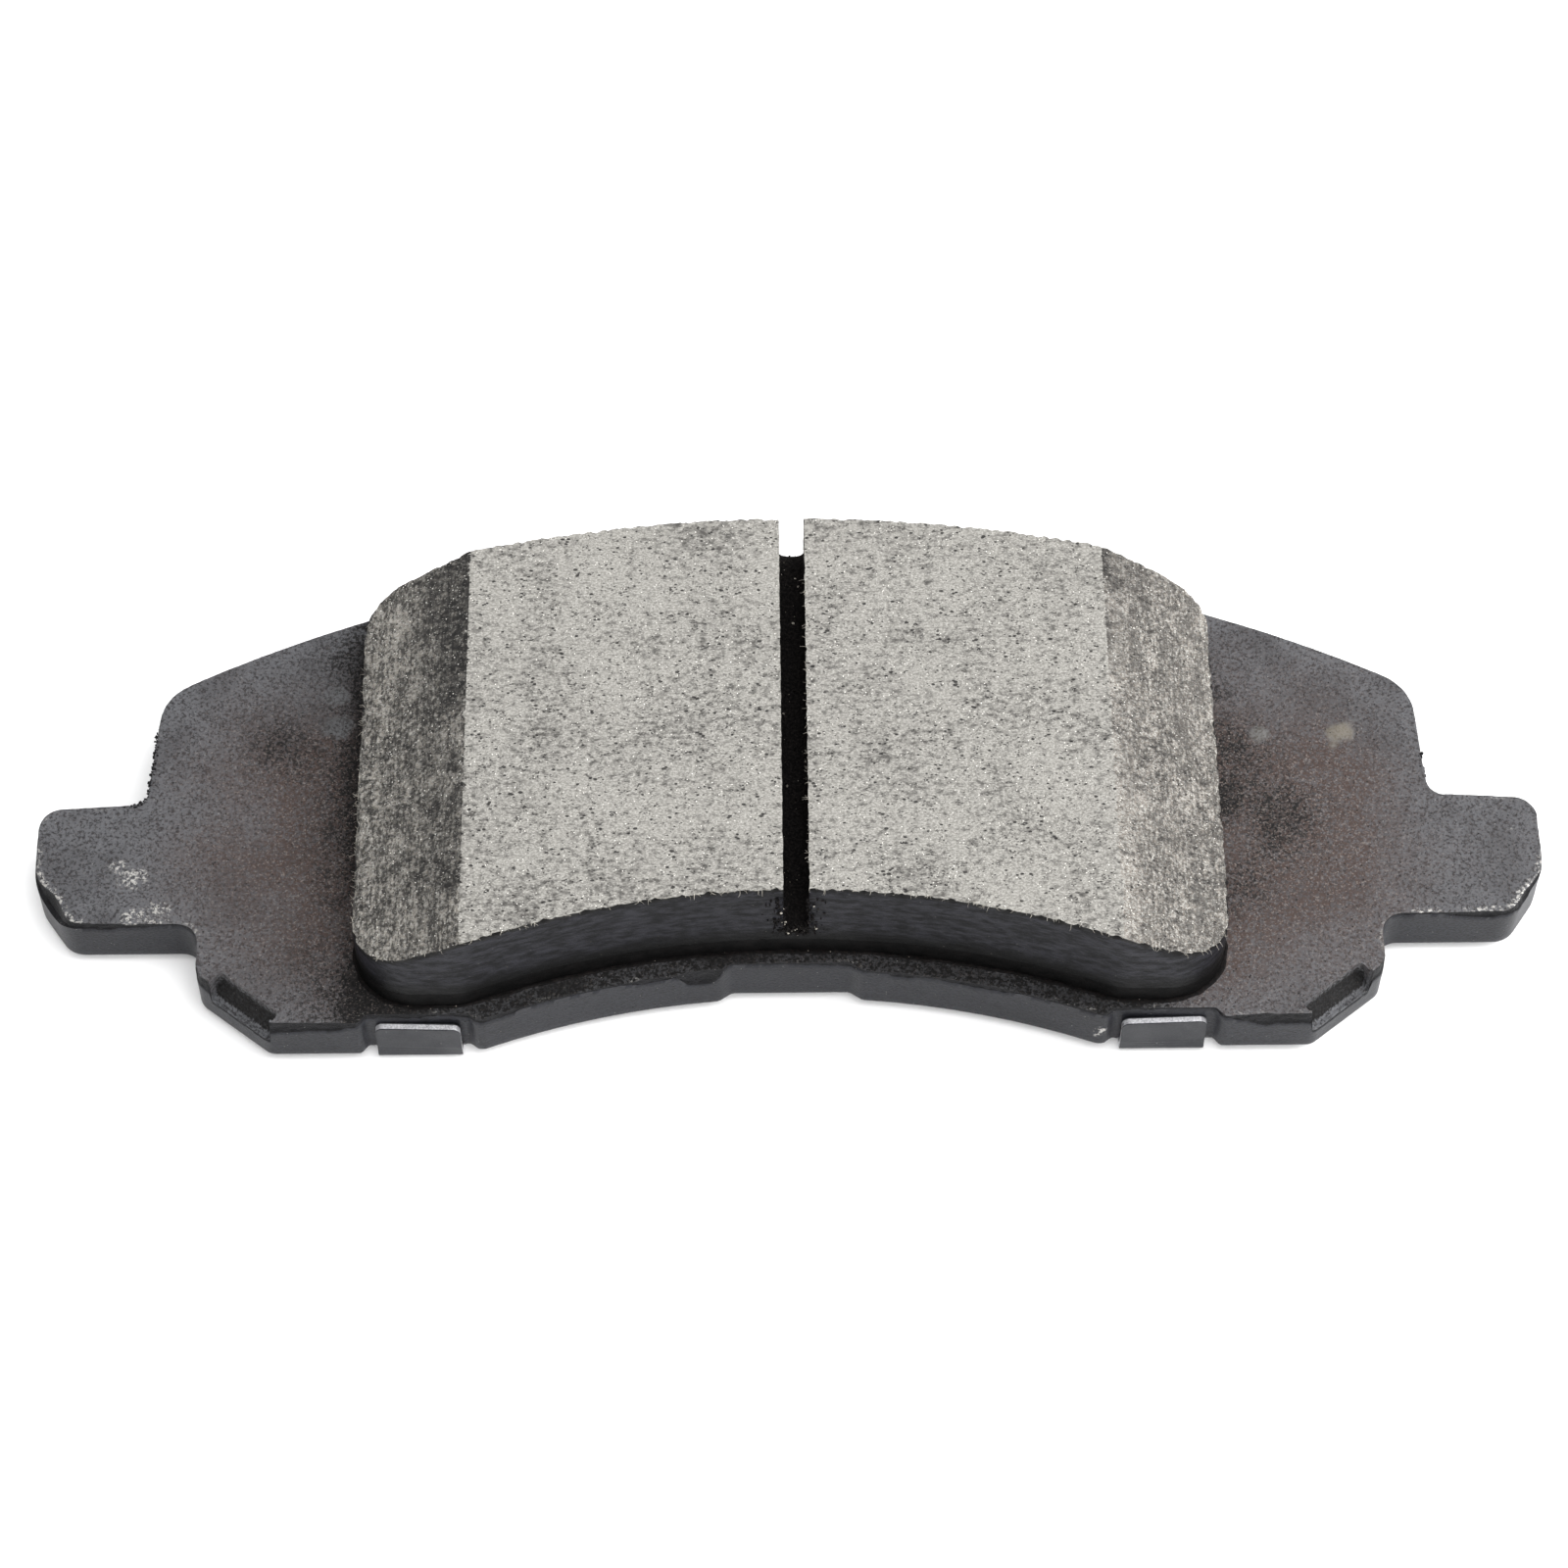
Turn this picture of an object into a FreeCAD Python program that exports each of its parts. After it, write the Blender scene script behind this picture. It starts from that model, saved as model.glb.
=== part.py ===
import FreeCAD, Part
import math
import os

# Disc brake pad: a stamped steel backing plate, the bonded friction lining and a bonded noise shim.
# Frame: +X along the pad, +Y radially outward from the disc's axle, +Z out of the friction face.
# Origin: under the middle of the whole pad, on the plane that the shim rests on. Millimetres.

# Backing plate. Heights up the pad are counted from its lower edge.
plate_thickness = 5.9
plate_height = 50.1
plate_outer_radius = 120.0
plate_inner_radius = 79.0
plate_inner_rise = 5.3
shoulder_half_width = 58.3
neck_half_width = 59.0
shoulder_radius = 5.0
neck_radius = 1.6
ear_half_span = 68.8
ear_top_height = 22.75
ear_side_height = 15.0
ear_bottom_height = 10.5
ear_chamfer_width = 3.1
ear_top_slope = 0.5
ear_top_radius = 2.2
ear_side_radius = 4.0
ear_bottom_radius = 2.4
foot_half_width = 53.6
foot_corner_height = 5.2
foot_bottom_half_width = 47.0
foot_inner_radius = 2.0
foot_corner_radius = 1.5
step_half_width = 5.3
step_side_run = 1.2
step_depth = 0.55
step_radius = 0.8
# Stamped edge: rolled where the punch entered, upright where it sheared, drawn in where it tore.
die_roll_radius = 0.6
torn_band_height = 1.9
torn_band_inset = 0.35
# Coined recess at each lower corner, along the sloping edge.
recess_length = 6.0
recess_depth_inward = 1.65
recess_shift = 0.4  # towards the pad's lower edge
recess_step = 0.8
recess_outer_floor = 2.4
# Moulding holes that key the lining to the plate.
key_hole_diameter = 12.0
key_hole_spacing = 42.0
key_hole_height = 27.0

# Shim clips and the notches that hold them.
clip_width = 7.6
clip_spacing = 67.0
clip_height = 4.5
clip_corner_radius = 0.7
clip_clearance = 0.1
clip_side_room = 0.75
clip_relief_width = 0.6
notch_side_run = 0.7
notch_depth = 0.9
notch_radius = 0.5
outer_clip_spacing = 36.0
outer_notch_depth = 1.1
notch_land = 0.65  # flat between a notch and the plate's inner arc

# Shim layers, from the plate outward.
shim_adhesive_thickness = 0.1
inner_coat_thickness = 0.1
shim_steel_thickness = 0.5
outer_coat_thickness = 0.1
shim_bend_radius = 0.2
shim_edge_margin = 1.5
shim_half_width = 50.5
shim_corner_rise = 5.0
shim_corner_radius = 3.0
adhesive_margin = 1.0

# Lining: bond film, underlayer and friction block, in one moulded outline that narrows upward.
lining_half_length = 39.15
lining_outer_height = 47.6
lining_outer_radius = 128.0
lining_inner_height = 7.15
lining_inner_radius = 82.0
lining_heel_half_width = 29.3
lining_outer_corner_radius = 5.0
lining_inner_corner_radius = 5.5
lining_heel_radius = 6.0
lining_thickness = 10.5
lining_draft_inset = 0.15
bond_film_thickness = 0.1
bond_film_overlap = 0.25
underlayer_thickness = 2.0
slot_width = 2.3
slot_offset = 0.5
slot_depth = 6.9
end_slope_start = 29.2
end_slope_drop = 4.7

upward = FreeCAD.Vector(0, 0, 1)
across = FreeCAD.Vector(1, 0, 0)
shim_thickness = (
    shim_adhesive_thickness + inner_coat_thickness + shim_steel_thickness + outer_coat_thickness
)
plate_back = shim_thickness
plate_front = plate_back + plate_thickness
face_level = plate_front + lining_thickness
lower_edge = -plate_height / 2
cut_margin = 5.0  # how far a cutting solid runs past what it cuts
same_level = 1e-4  # two levels nearer than this are one
same_corner = 0.05  # an edge this near a named corner belongs to it


def point(x, height, level=0.0):
    """A point by its height up the pad from the plate's lower edge."""
    return FreeCAD.Vector(x, lower_edge + height, level)


def arc_height(crest, radius, x):
    """Height at x of an arc centred under the pad, whose crest is on the middle line."""
    return crest - radius + math.sqrt(radius * radius - x * x)


def arc_reach(crest, radius, height):
    """How far from the middle line such an arc comes down to a height."""
    return math.sqrt(radius * radius - (height - crest + radius) ** 2)


def arc_between(crest, radius, x_from, x_to):
    """The edge of such an arc from one x to another."""
    x_middle = (x_from + x_to) / 2
    ends = [point(x, arc_height(crest, radius, x)) for x in (x_from, x_middle, x_to)]
    return Part.Arc(*ends).toShape()


def straight_run(places):
    """Straight edges through a row of (x, height) places."""
    points = [point(*place) for place in places]
    return [Part.makeLine(a, b) for a, b in zip(points, points[1:])]


def mirrored(places):
    return [(-x, height) for x, height in reversed(places)]


def solid_from_outline(edges, level, thickness, corners):
    """An upright solid on a closed outline, its corners rounded. corners: (x, height, radius)."""
    face = Part.Face(Part.Wire(Part.__sortEdges__(edges)))
    solid = face.extrude(upward * thickness)
    for x, height, radius in corners:
        for side in {-1, 1} if x else {1}:
            place = point(side * x, height)
            upright = [
                edge
                for edge in solid.Edges
                if all(math.hypot(v.X - place.x, v.Y - place.y) < same_corner for v in edge.Vertexes)
            ]
            solid = solid.makeFillet(radius, upright)
    solid.translate(upward * level)
    return solid


def lies_at(shape, level):
    """Whether a face or an edge lies flat at a level."""
    box = shape.BoundBox
    return abs(box.ZMin - level) < same_level and abs(box.ZMax - level) < same_level


def face_at(solid, level):
    """The flat face of a solid that lies at a level."""
    flat = [face for face in solid.Faces if lies_at(face, level)]
    return max(flat, key=lambda face: face.Area)


def narrowing_solid(face, height, inset):
    """A solid that rises from a face and draws in evenly by inset at its top."""
    outline = face.OuterWire
    sharp_joints = 1
    top = outline.makeOffset2D(-inset, sharp_joints)
    top.translate(upward * height)
    return Part.makeLoft([outline, top], True, True)


def clip_places(spacing):
    return [-spacing / 2, spacing / 2]


def plate_half_outline():
    """The right half of the plate's sheared outline below its outer arc, from top to bottom."""
    notch_out = clip_spacing / 2 + clip_width / 2 + clip_side_room
    notch_in = clip_spacing / 2 - clip_width / 2 - clip_side_room
    shoulder_height = arc_height(plate_height, plate_outer_radius, shoulder_half_width)
    land_end = notch_in - notch_side_run
    arc_end = land_end - notch_land
    land_height = arc_height(plate_inner_rise, plate_inner_radius, arc_end)
    step_reach = step_half_width + step_side_run
    return [
        (shoulder_half_width, shoulder_height),
        (neck_half_width, ear_top_height + ear_top_slope),
        (ear_half_span, ear_top_height),
        (ear_half_span, ear_side_height),
        (ear_half_span - ear_chamfer_width, ear_bottom_height),
        (foot_half_width, ear_bottom_height),
        (foot_half_width, foot_corner_height),
        (foot_bottom_half_width, 0.0),
        (notch_out + notch_side_run, 0.0),
        (notch_out, notch_depth),
        (notch_in, notch_depth),
        (land_end, land_height),
        (arc_end, land_height),
        (step_reach, arc_height(plate_inner_rise, plate_inner_radius, step_reach)),
        (step_half_width, plate_inner_rise + step_depth),
    ]


def plate_blank():
    """The plate's full outline as an upright solid, with its corners rounded."""
    half = plate_half_outline()
    radii = [
        shoulder_radius,
        neck_radius,
        ear_top_radius,
        ear_side_radius,
        ear_bottom_radius,
        foot_inner_radius,
        foot_corner_radius,
        foot_corner_radius,
        notch_radius,
        notch_radius,
        notch_radius,
        notch_radius,
        notch_radius,
        step_radius,
        step_radius,
    ]
    above_arc = half[:-2]
    step = half[-2:]
    edges = [arc_between(plate_height, plate_outer_radius, -half[0][0], half[0][0])]
    edges += straight_run(above_arc) + straight_run(mirrored(above_arc))
    edges += straight_run(step + mirrored(step))
    for side in (-1, 1):
        inner_arc = (side * above_arc[-1][0], side * step[0][0])
        edges.append(arc_between(plate_inner_rise, plate_inner_radius, *inner_arc))
    corners = [(x, height, radius) for (x, height), radius in zip(half, radii)]
    return solid_from_outline(edges, plate_back, plate_thickness, corners)


def outer_notch_floor():
    """Height of the flat floor of the notches in the plate's outer arc."""
    reach = outer_clip_spacing / 2 + clip_width / 2 + clip_side_room
    return arc_height(plate_height, plate_outer_radius, reach) - outer_notch_depth


def outer_notches():
    """What the press cuts out of the plate's outer arc for the two hidden clips."""
    width = clip_width + 2 * clip_side_room
    cuts = []
    for x in clip_places(outer_clip_spacing):
        start = point(x - width / 2, outer_notch_floor(), plate_back - cut_margin)
        depth = plate_thickness + 2 * cut_margin
        cuts.append(Part.makeBox(width, 2 * cut_margin, depth, start))
    return cuts


def recess_cutter(side):
    """The wedge that the coining punch presses into the sloping lower corner."""
    outer = point(foot_half_width, foot_corner_height)
    inner = point(foot_bottom_half_width, 0.0)
    along = (outer - inner).normalize()
    inward = FreeCAD.Vector(-along.y, along.x, 0)
    start = (outer + inner) / 2 - along * (recess_length / 2 + recess_shift)
    floor_in = plate_thickness - recess_step
    fall = (floor_in - recess_outer_floor) / recess_depth_inward
    profile = [
        (recess_depth_inward, plate_thickness + cut_margin),
        (recess_depth_inward, floor_in),
        (-cut_margin, recess_outer_floor - fall * cut_margin),
        (-cut_margin, plate_thickness + cut_margin),
    ]
    corners = [start + inward * reach + upward * (plate_back + rise) for reach, rise in profile]
    cutter = Part.Face(Part.makePolygon(corners + corners[:1])).extrude(along * recess_length)
    return cutter if side > 0 else cutter.mirror(FreeCAD.Vector(), across)


def key_hole_plug(level, length):
    """A cylinder in each moulding hole, as one list."""
    centres = [(-key_hole_spacing / 2, key_hole_height), (key_hole_spacing / 2, key_hole_height)]
    return [
        Part.makeCylinder(key_hole_diameter / 2, length, point(x, height, level))
        for x, height in centres
    ]


def make_backing_plate():
    blank = plate_blank().cut(outer_notches())
    sheared = plate_thickness - torn_band_height
    slab = face_at(blank, plate_back).extrude(upward * sheared)
    rim = [edge for edge in slab.Edges if lies_at(edge, plate_back)]
    rolled = slab.makeFillet(die_roll_radius, rim)
    torn = narrowing_solid(face_at(slab, plate_back + sheared), torn_band_height, torn_band_inset)
    plate = rolled.fuse(torn)
    holes = key_hole_plug(plate_back - cut_margin, plate_thickness + 2 * cut_margin)
    return plate.cut(holes + [recess_cutter(-1), recess_cutter(1)])


def lining_outline():
    """The lining's outline at its foot, as an upright solid of the lining's thickness."""
    outer_corner = arc_height(lining_outer_height, lining_outer_radius, lining_half_length)
    heel = arc_height(lining_inner_height, lining_inner_radius, lining_heel_half_width)
    half = [
        (lining_half_length, outer_corner),
        (lining_half_length, heel),
        (lining_heel_half_width, heel),
    ]
    edges = [
        arc_between(lining_outer_height, lining_outer_radius, -lining_half_length, lining_half_length),
        arc_between(
            lining_inner_height, lining_inner_radius, -lining_heel_half_width, lining_heel_half_width
        ),
    ]
    edges += straight_run(half) + straight_run(mirrored(half))
    radii = [lining_outer_corner_radius, lining_inner_corner_radius, lining_heel_radius]
    corners = [(x, height, radius) for (x, height), radius in zip(half, radii)]
    return solid_from_outline(edges, plate_front, lining_thickness, corners)


def lining_foot():
    return face_at(lining_outline(), plate_front)


def band_between(low, high):
    """A wide block that keeps only what lies between two levels."""
    reach = 2 * ear_half_span
    start = FreeCAD.Vector(-reach, -reach, low)
    return Part.makeBox(2 * reach, 2 * reach, high - low, start)


def make_bond_film():
    spread = lining_foot().OuterWire.makeOffset2D(bond_film_overlap, 0)
    film = Part.Face(spread).extrude(upward * bond_film_thickness)
    return film.cut(key_hole_plug(plate_front - cut_margin, 2 * cut_margin))


def moulded_lining():
    return narrowing_solid(lining_foot(), lining_thickness, lining_draft_inset)


def make_underlayer():
    low = plate_front + bond_film_thickness
    slab = moulded_lining().common(band_between(low, low + underlayer_thickness))
    return slab.fuse(key_hole_plug(plate_back, low - plate_back)).removeSplitter()


def end_slope_cutter(side):
    """The wedge ground off one end of the friction face."""
    run = lining_half_length - end_slope_start
    fall = end_slope_drop / run
    reach = run + cut_margin
    profile = [(0.0, 0.0), (reach, -fall * reach), (reach, cut_margin), (0.0, cut_margin)]
    corners = [
        FreeCAD.Vector(side * (end_slope_start + x), -plate_height, face_level + rise)
        for x, rise in profile
    ]
    wedge = Part.Face(Part.makePolygon(corners + corners[:1]))
    return wedge.extrude(FreeCAD.Vector(0, 2 * plate_height, 0))


def slot_cutter():
    start = FreeCAD.Vector(slot_offset - slot_width / 2, -plate_height, face_level - slot_depth)
    return Part.makeBox(slot_width, 2 * plate_height, slot_depth + cut_margin, start)


def make_friction_block():
    low = plate_front + bond_film_thickness + underlayer_thickness
    block = moulded_lining().common(band_between(low, face_level + cut_margin))
    return block.cut([slot_cutter(), end_slope_cutter(-1), end_slope_cutter(1)])


def clip_rows():
    """Each row of clips: its spacing, the height of its notches' floor, and which way it faces."""
    return [(clip_spacing, notch_depth, -1), (outer_clip_spacing, outer_notch_floor(), 1)]


def bend_start(floor_height, outward):
    """Height at which a clip leaves the flat sheet."""
    return floor_height + outward * (clip_clearance - shim_bend_radius)


def clip_reliefs():
    """Cuts that free each clip's bend from the flat sheet beside it."""
    width = clip_width + 2 * clip_relief_width
    cuts = []
    for spacing, floor_height, outward in clip_rows():
        for x in clip_places(spacing):
            low = bend_start(floor_height, outward) - (cut_margin if outward < 0 else 0)
            start = point(x - width / 2, low, -cut_margin)
            cuts.append(Part.makeBox(width, cut_margin, 2 * cut_margin, start))
    return cuts


def shim_outline(level, thickness, margin):
    """The shim's flat sheet, which follows the plate and stops short of the ears."""
    outer_crest = plate_height - margin
    outer_radius = plate_outer_radius - margin
    inner_crest = plate_inner_rise + step_depth + margin
    inner_radius = plate_inner_radius - margin
    side = shim_half_width - (margin - shim_edge_margin)
    corner_run = shim_corner_rise * (foot_half_width - foot_bottom_half_width) / foot_corner_height
    half = [
        (side, arc_height(outer_crest, outer_radius, side)),
        (side, margin + shim_corner_rise),
        (side - corner_run, margin),
        (arc_reach(inner_crest, inner_radius, margin), margin),
    ]
    edges = [arc_between(outer_crest, outer_radius, -side, side)]
    edges += straight_run(half) + straight_run(mirrored(half))
    edges.append(arc_between(inner_crest, inner_radius, -half[-1][0], half[-1][0]))
    corners = [(x, height, shim_corner_radius) for x, height in half[:3]]
    return solid_from_outline(edges, level, thickness, corners).cut(clip_reliefs())


def clip_section(floor_height, outward, inner_skin, outer_skin):
    """Section of one bent clip through its layer. floor_height is that of the notch's floor,
    outward is -1 on the inner edge of the plate and +1 on the outer edge, and the skins are
    the layer's two distances from the surface that faces the plate."""
    flat_level = plate_back - shim_adhesive_thickness
    centre_height = bend_start(floor_height, outward)
    centre_level = flat_level + shim_bend_radius
    top_level = plate_back + clip_height
    root_height = centre_height - outward * (notch_depth + shim_edge_margin)
    half_bend = math.sqrt(0.5)

    def place(across_sheet, turn):
        radius = shim_bend_radius + across_sheet
        if turn == "flat":
            return point(0, centre_height, centre_level - radius)
        if turn == "wall":
            return point(0, centre_height + outward * radius, centre_level)
        return point(0, centre_height + outward * radius * half_bend, centre_level - radius * half_bend)

    edges = []
    for skin in (inner_skin, outer_skin):
        wall = place(skin, "wall")
        flat = place(skin, "flat")
        edges.append(Part.Arc(flat, place(skin, "bend"), wall).toShape())
        edges.append(Part.makeLine(wall, FreeCAD.Vector(0, wall.y, top_level)))
        edges.append(Part.makeLine(flat, point(0, root_height, flat.z)))
    ends = [place(skin, "wall").y for skin in (inner_skin, outer_skin)]
    levels = [place(skin, "flat").z for skin in (inner_skin, outer_skin)]
    edges.append(Part.makeLine(*[FreeCAD.Vector(0, y, top_level) for y in ends]))
    edges.append(Part.makeLine(*[point(0, root_height, level) for level in levels]))
    return Part.Face(Part.Wire(Part.__sortEdges__(edges)))


def rounded_clip(section, x):
    """One clip of a layer, extruded across its width, its two free corners rounded."""
    section.translate(across * (x - clip_width / 2))
    clip = section.extrude(across * clip_width)
    top_level = plate_back + clip_height
    free = [
        edge
        for edge in clip.Edges
        if lies_at(edge, top_level) and abs(edge.BoundBox.XMax - edge.BoundBox.XMin) < same_level
    ]
    return clip.makeFillet(clip_corner_radius, free)


def bent_sheet(inner_skin, outer_skin):
    """One layer of the shim, flat behind the plate with its four clips bent up.
    The skins are its two distances from the surface that faces the plate."""
    flat_level = plate_back - shim_adhesive_thickness
    sheet = shim_outline(flat_level - outer_skin, outer_skin - inner_skin, shim_edge_margin)
    clips = [
        rounded_clip(clip_section(floor_height, outward, inner_skin, outer_skin), x)
        for spacing, floor_height, outward in clip_rows()
        for x in clip_places(spacing)
    ]
    return sheet.fuse(clips).removeSplitter()


def make_shim_adhesive():
    level = plate_back - shim_adhesive_thickness
    return shim_outline(level, shim_adhesive_thickness, shim_edge_margin + adhesive_margin)


def make_shim_inner_coat():
    return bent_sheet(0.0, inner_coat_thickness)


def make_shim_core():
    return bent_sheet(inner_coat_thickness, inner_coat_thickness + shim_steel_thickness)


def make_shim_outer_coat():
    below_core = inner_coat_thickness + shim_steel_thickness
    return bent_sheet(below_core, below_core + outer_coat_thickness)


pieces = {
    "backing_plate": make_backing_plate,
    "bond_film": make_bond_film,
    "underlayer": make_underlayer,
    "friction_block": make_friction_block,
    "shim_adhesive": make_shim_adhesive,
    "shim_inner_coat": make_shim_inner_coat,
    "shim_core": make_shim_core,
    "shim_outer_coat": make_shim_outer_coat,
}

os.makedirs("parts", exist_ok=True)
for name, make in pieces.items():
    shape = make()
    shape.exportStep(f"parts/{name}.step")
    box = shape.BoundBox
    print(
        f"{name}: {len(shape.Solids)} solid, valid {shape.isValid()}, {shape.Volume:.1f} mm3,"
        f" {box.XLength:.2f} x {box.YLength:.2f} x {box.ZLength:.2f}"
    )
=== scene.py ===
import math
import random

import bmesh
import bpy
import numpy as np
from mathutils import Matrix, Vector, geometry, kdtree, noise


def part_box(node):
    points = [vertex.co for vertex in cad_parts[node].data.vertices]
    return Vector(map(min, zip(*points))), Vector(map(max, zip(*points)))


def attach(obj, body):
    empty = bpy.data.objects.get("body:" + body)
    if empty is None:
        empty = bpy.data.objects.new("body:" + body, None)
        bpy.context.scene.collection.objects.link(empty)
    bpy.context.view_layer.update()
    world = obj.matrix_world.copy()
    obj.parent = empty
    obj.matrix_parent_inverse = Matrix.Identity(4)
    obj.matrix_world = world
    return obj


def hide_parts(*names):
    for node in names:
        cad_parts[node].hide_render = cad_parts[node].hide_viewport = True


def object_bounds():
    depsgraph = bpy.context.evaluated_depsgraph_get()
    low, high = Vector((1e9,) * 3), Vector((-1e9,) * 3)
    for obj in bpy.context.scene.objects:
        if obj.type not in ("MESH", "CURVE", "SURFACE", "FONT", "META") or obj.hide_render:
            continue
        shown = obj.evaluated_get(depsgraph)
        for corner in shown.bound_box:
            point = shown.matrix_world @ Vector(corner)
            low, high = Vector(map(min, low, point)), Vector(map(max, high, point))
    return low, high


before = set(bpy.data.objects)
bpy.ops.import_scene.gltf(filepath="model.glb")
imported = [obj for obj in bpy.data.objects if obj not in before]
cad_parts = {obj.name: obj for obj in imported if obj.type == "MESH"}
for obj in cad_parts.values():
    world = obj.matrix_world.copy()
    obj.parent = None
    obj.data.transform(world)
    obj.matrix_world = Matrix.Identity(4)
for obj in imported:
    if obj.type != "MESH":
        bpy.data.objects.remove(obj)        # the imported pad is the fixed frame, in metres
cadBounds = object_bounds()
mm = 0.001
print("frame loaded:", ", ".join(sorted(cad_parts)))


view = {
    "lens": 101.66,
    "sensor": 36.0,
    "place": (-2.933 * mm, -216.708 * mm, 353.236 * mm),
    "tilt": 32.0,                # degrees off straight down
    "turn": -0.6724,
    "roll": 0.0623,
}


def placeCamera(look):
    data = bpy.data.cameras.new("padCamera")
    data.lens = look["lens"]
    data.sensor_width = look["sensor"]
    data.clip_start = 0.01
    data.clip_end = 20.0
    camera = bpy.data.objects.new("padCamera", data)
    bpy.context.scene.collection.objects.link(camera)
    turn = Matrix.Rotation(math.radians(look["turn"]), 4, "Z")
    tilt = Matrix.Rotation(math.radians(look["tilt"]), 4, "X")
    roll = Matrix.Rotation(math.radians(look["roll"]), 4, "Z")
    camera.matrix_world = Matrix.Translation(look["place"]) @ turn @ tilt @ roll
    bpy.context.scene.camera = camera


studio = {
    "skyLeft": 0.42,             # sky strength at the left and at the right
    "skyRight": 1.12,
    "floorWhite": 0.86,
    "floorGlow": 0.16,           # a light table's own light
    "floorHalf": 2.5,            # metres
    "floorGap": 0.02 * mm,       # below the shim's outer face
    "topPower": 8.5,
    "topSize": 0.8,
    "topPlace": (0.22, -0.14, 0.80),
    "frontPower": 0.8,
    "frontSize": 0.6,
    "frontPlace": (0.25, -0.75, 0.45),
    "sidePower": 5.2,
    "sideSize": 0.45,
    "sidePlace": (0.65, 0.10, 0.38),
}


def softLight(name, place, size, power, target=(0.0, 0.0, 0.0)):
    data = bpy.data.lights.new(name, "AREA")
    data.size = size
    data.energy = power
    lamp = bpy.data.objects.new(name, data)
    lamp.location = place
    lamp.rotation_mode = "QUATERNION"
    lamp.rotation_quaternion = (Vector(place) - Vector(target)).to_track_quat("Z", "Y")
    bpy.context.scene.collection.objects.link(lamp)


def paintSky(left, right):
    world = bpy.data.worlds.new("studioSky")
    world.use_nodes = True
    tree = world.node_tree
    sky = tree.nodes["Background"]
    sky.inputs["Color"].default_value = (1.0, 1.0, 1.0, 1.0)
    heading = tree.nodes.new("ShaderNodeTexCoord")
    split = tree.nodes.new("ShaderNodeSeparateXYZ")
    tree.links.new(heading.outputs["Generated"], split.inputs[0])
    ramp = tree.nodes.new("ShaderNodeMapRange")
    tree.links.new(split.outputs["X"], ramp.inputs["Value"])
    ramp.inputs["From Min"].default_value = -1.0
    ramp.inputs["From Max"].default_value = 1.0
    ramp.inputs["To Min"].default_value = left
    ramp.inputs["To Max"].default_value = right
    tree.links.new(ramp.outputs["Result"], sky.inputs["Strength"])
    bpy.context.scene.world = world


# camera, sky and lights
placeCamera(view)
paintSky(studio["skyLeft"], studio["skyRight"])
softLight("topSoftbox", studio["topPlace"], studio["topSize"], studio["topPower"])
softLight("frontSoftbox", studio["frontPlace"], studio["frontSize"], studio["frontPower"])
softLight("sideSoftbox", studio["sidePlace"], studio["sideSize"], studio["sidePower"])
bpy.context.scene.view_settings.view_transform = "Standard"
print("camera, sky and lights placed")


def tint(red, green, blue):
    # a colour given from 0 to 255, as the shader wants it
    linear = [((c / 255 + 0.055) / 1.055) ** 2.4 if c > 10 else c / 255 / 12.92 for c in (red, green, blue)]
    return (*linear, 1.0)


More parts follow.
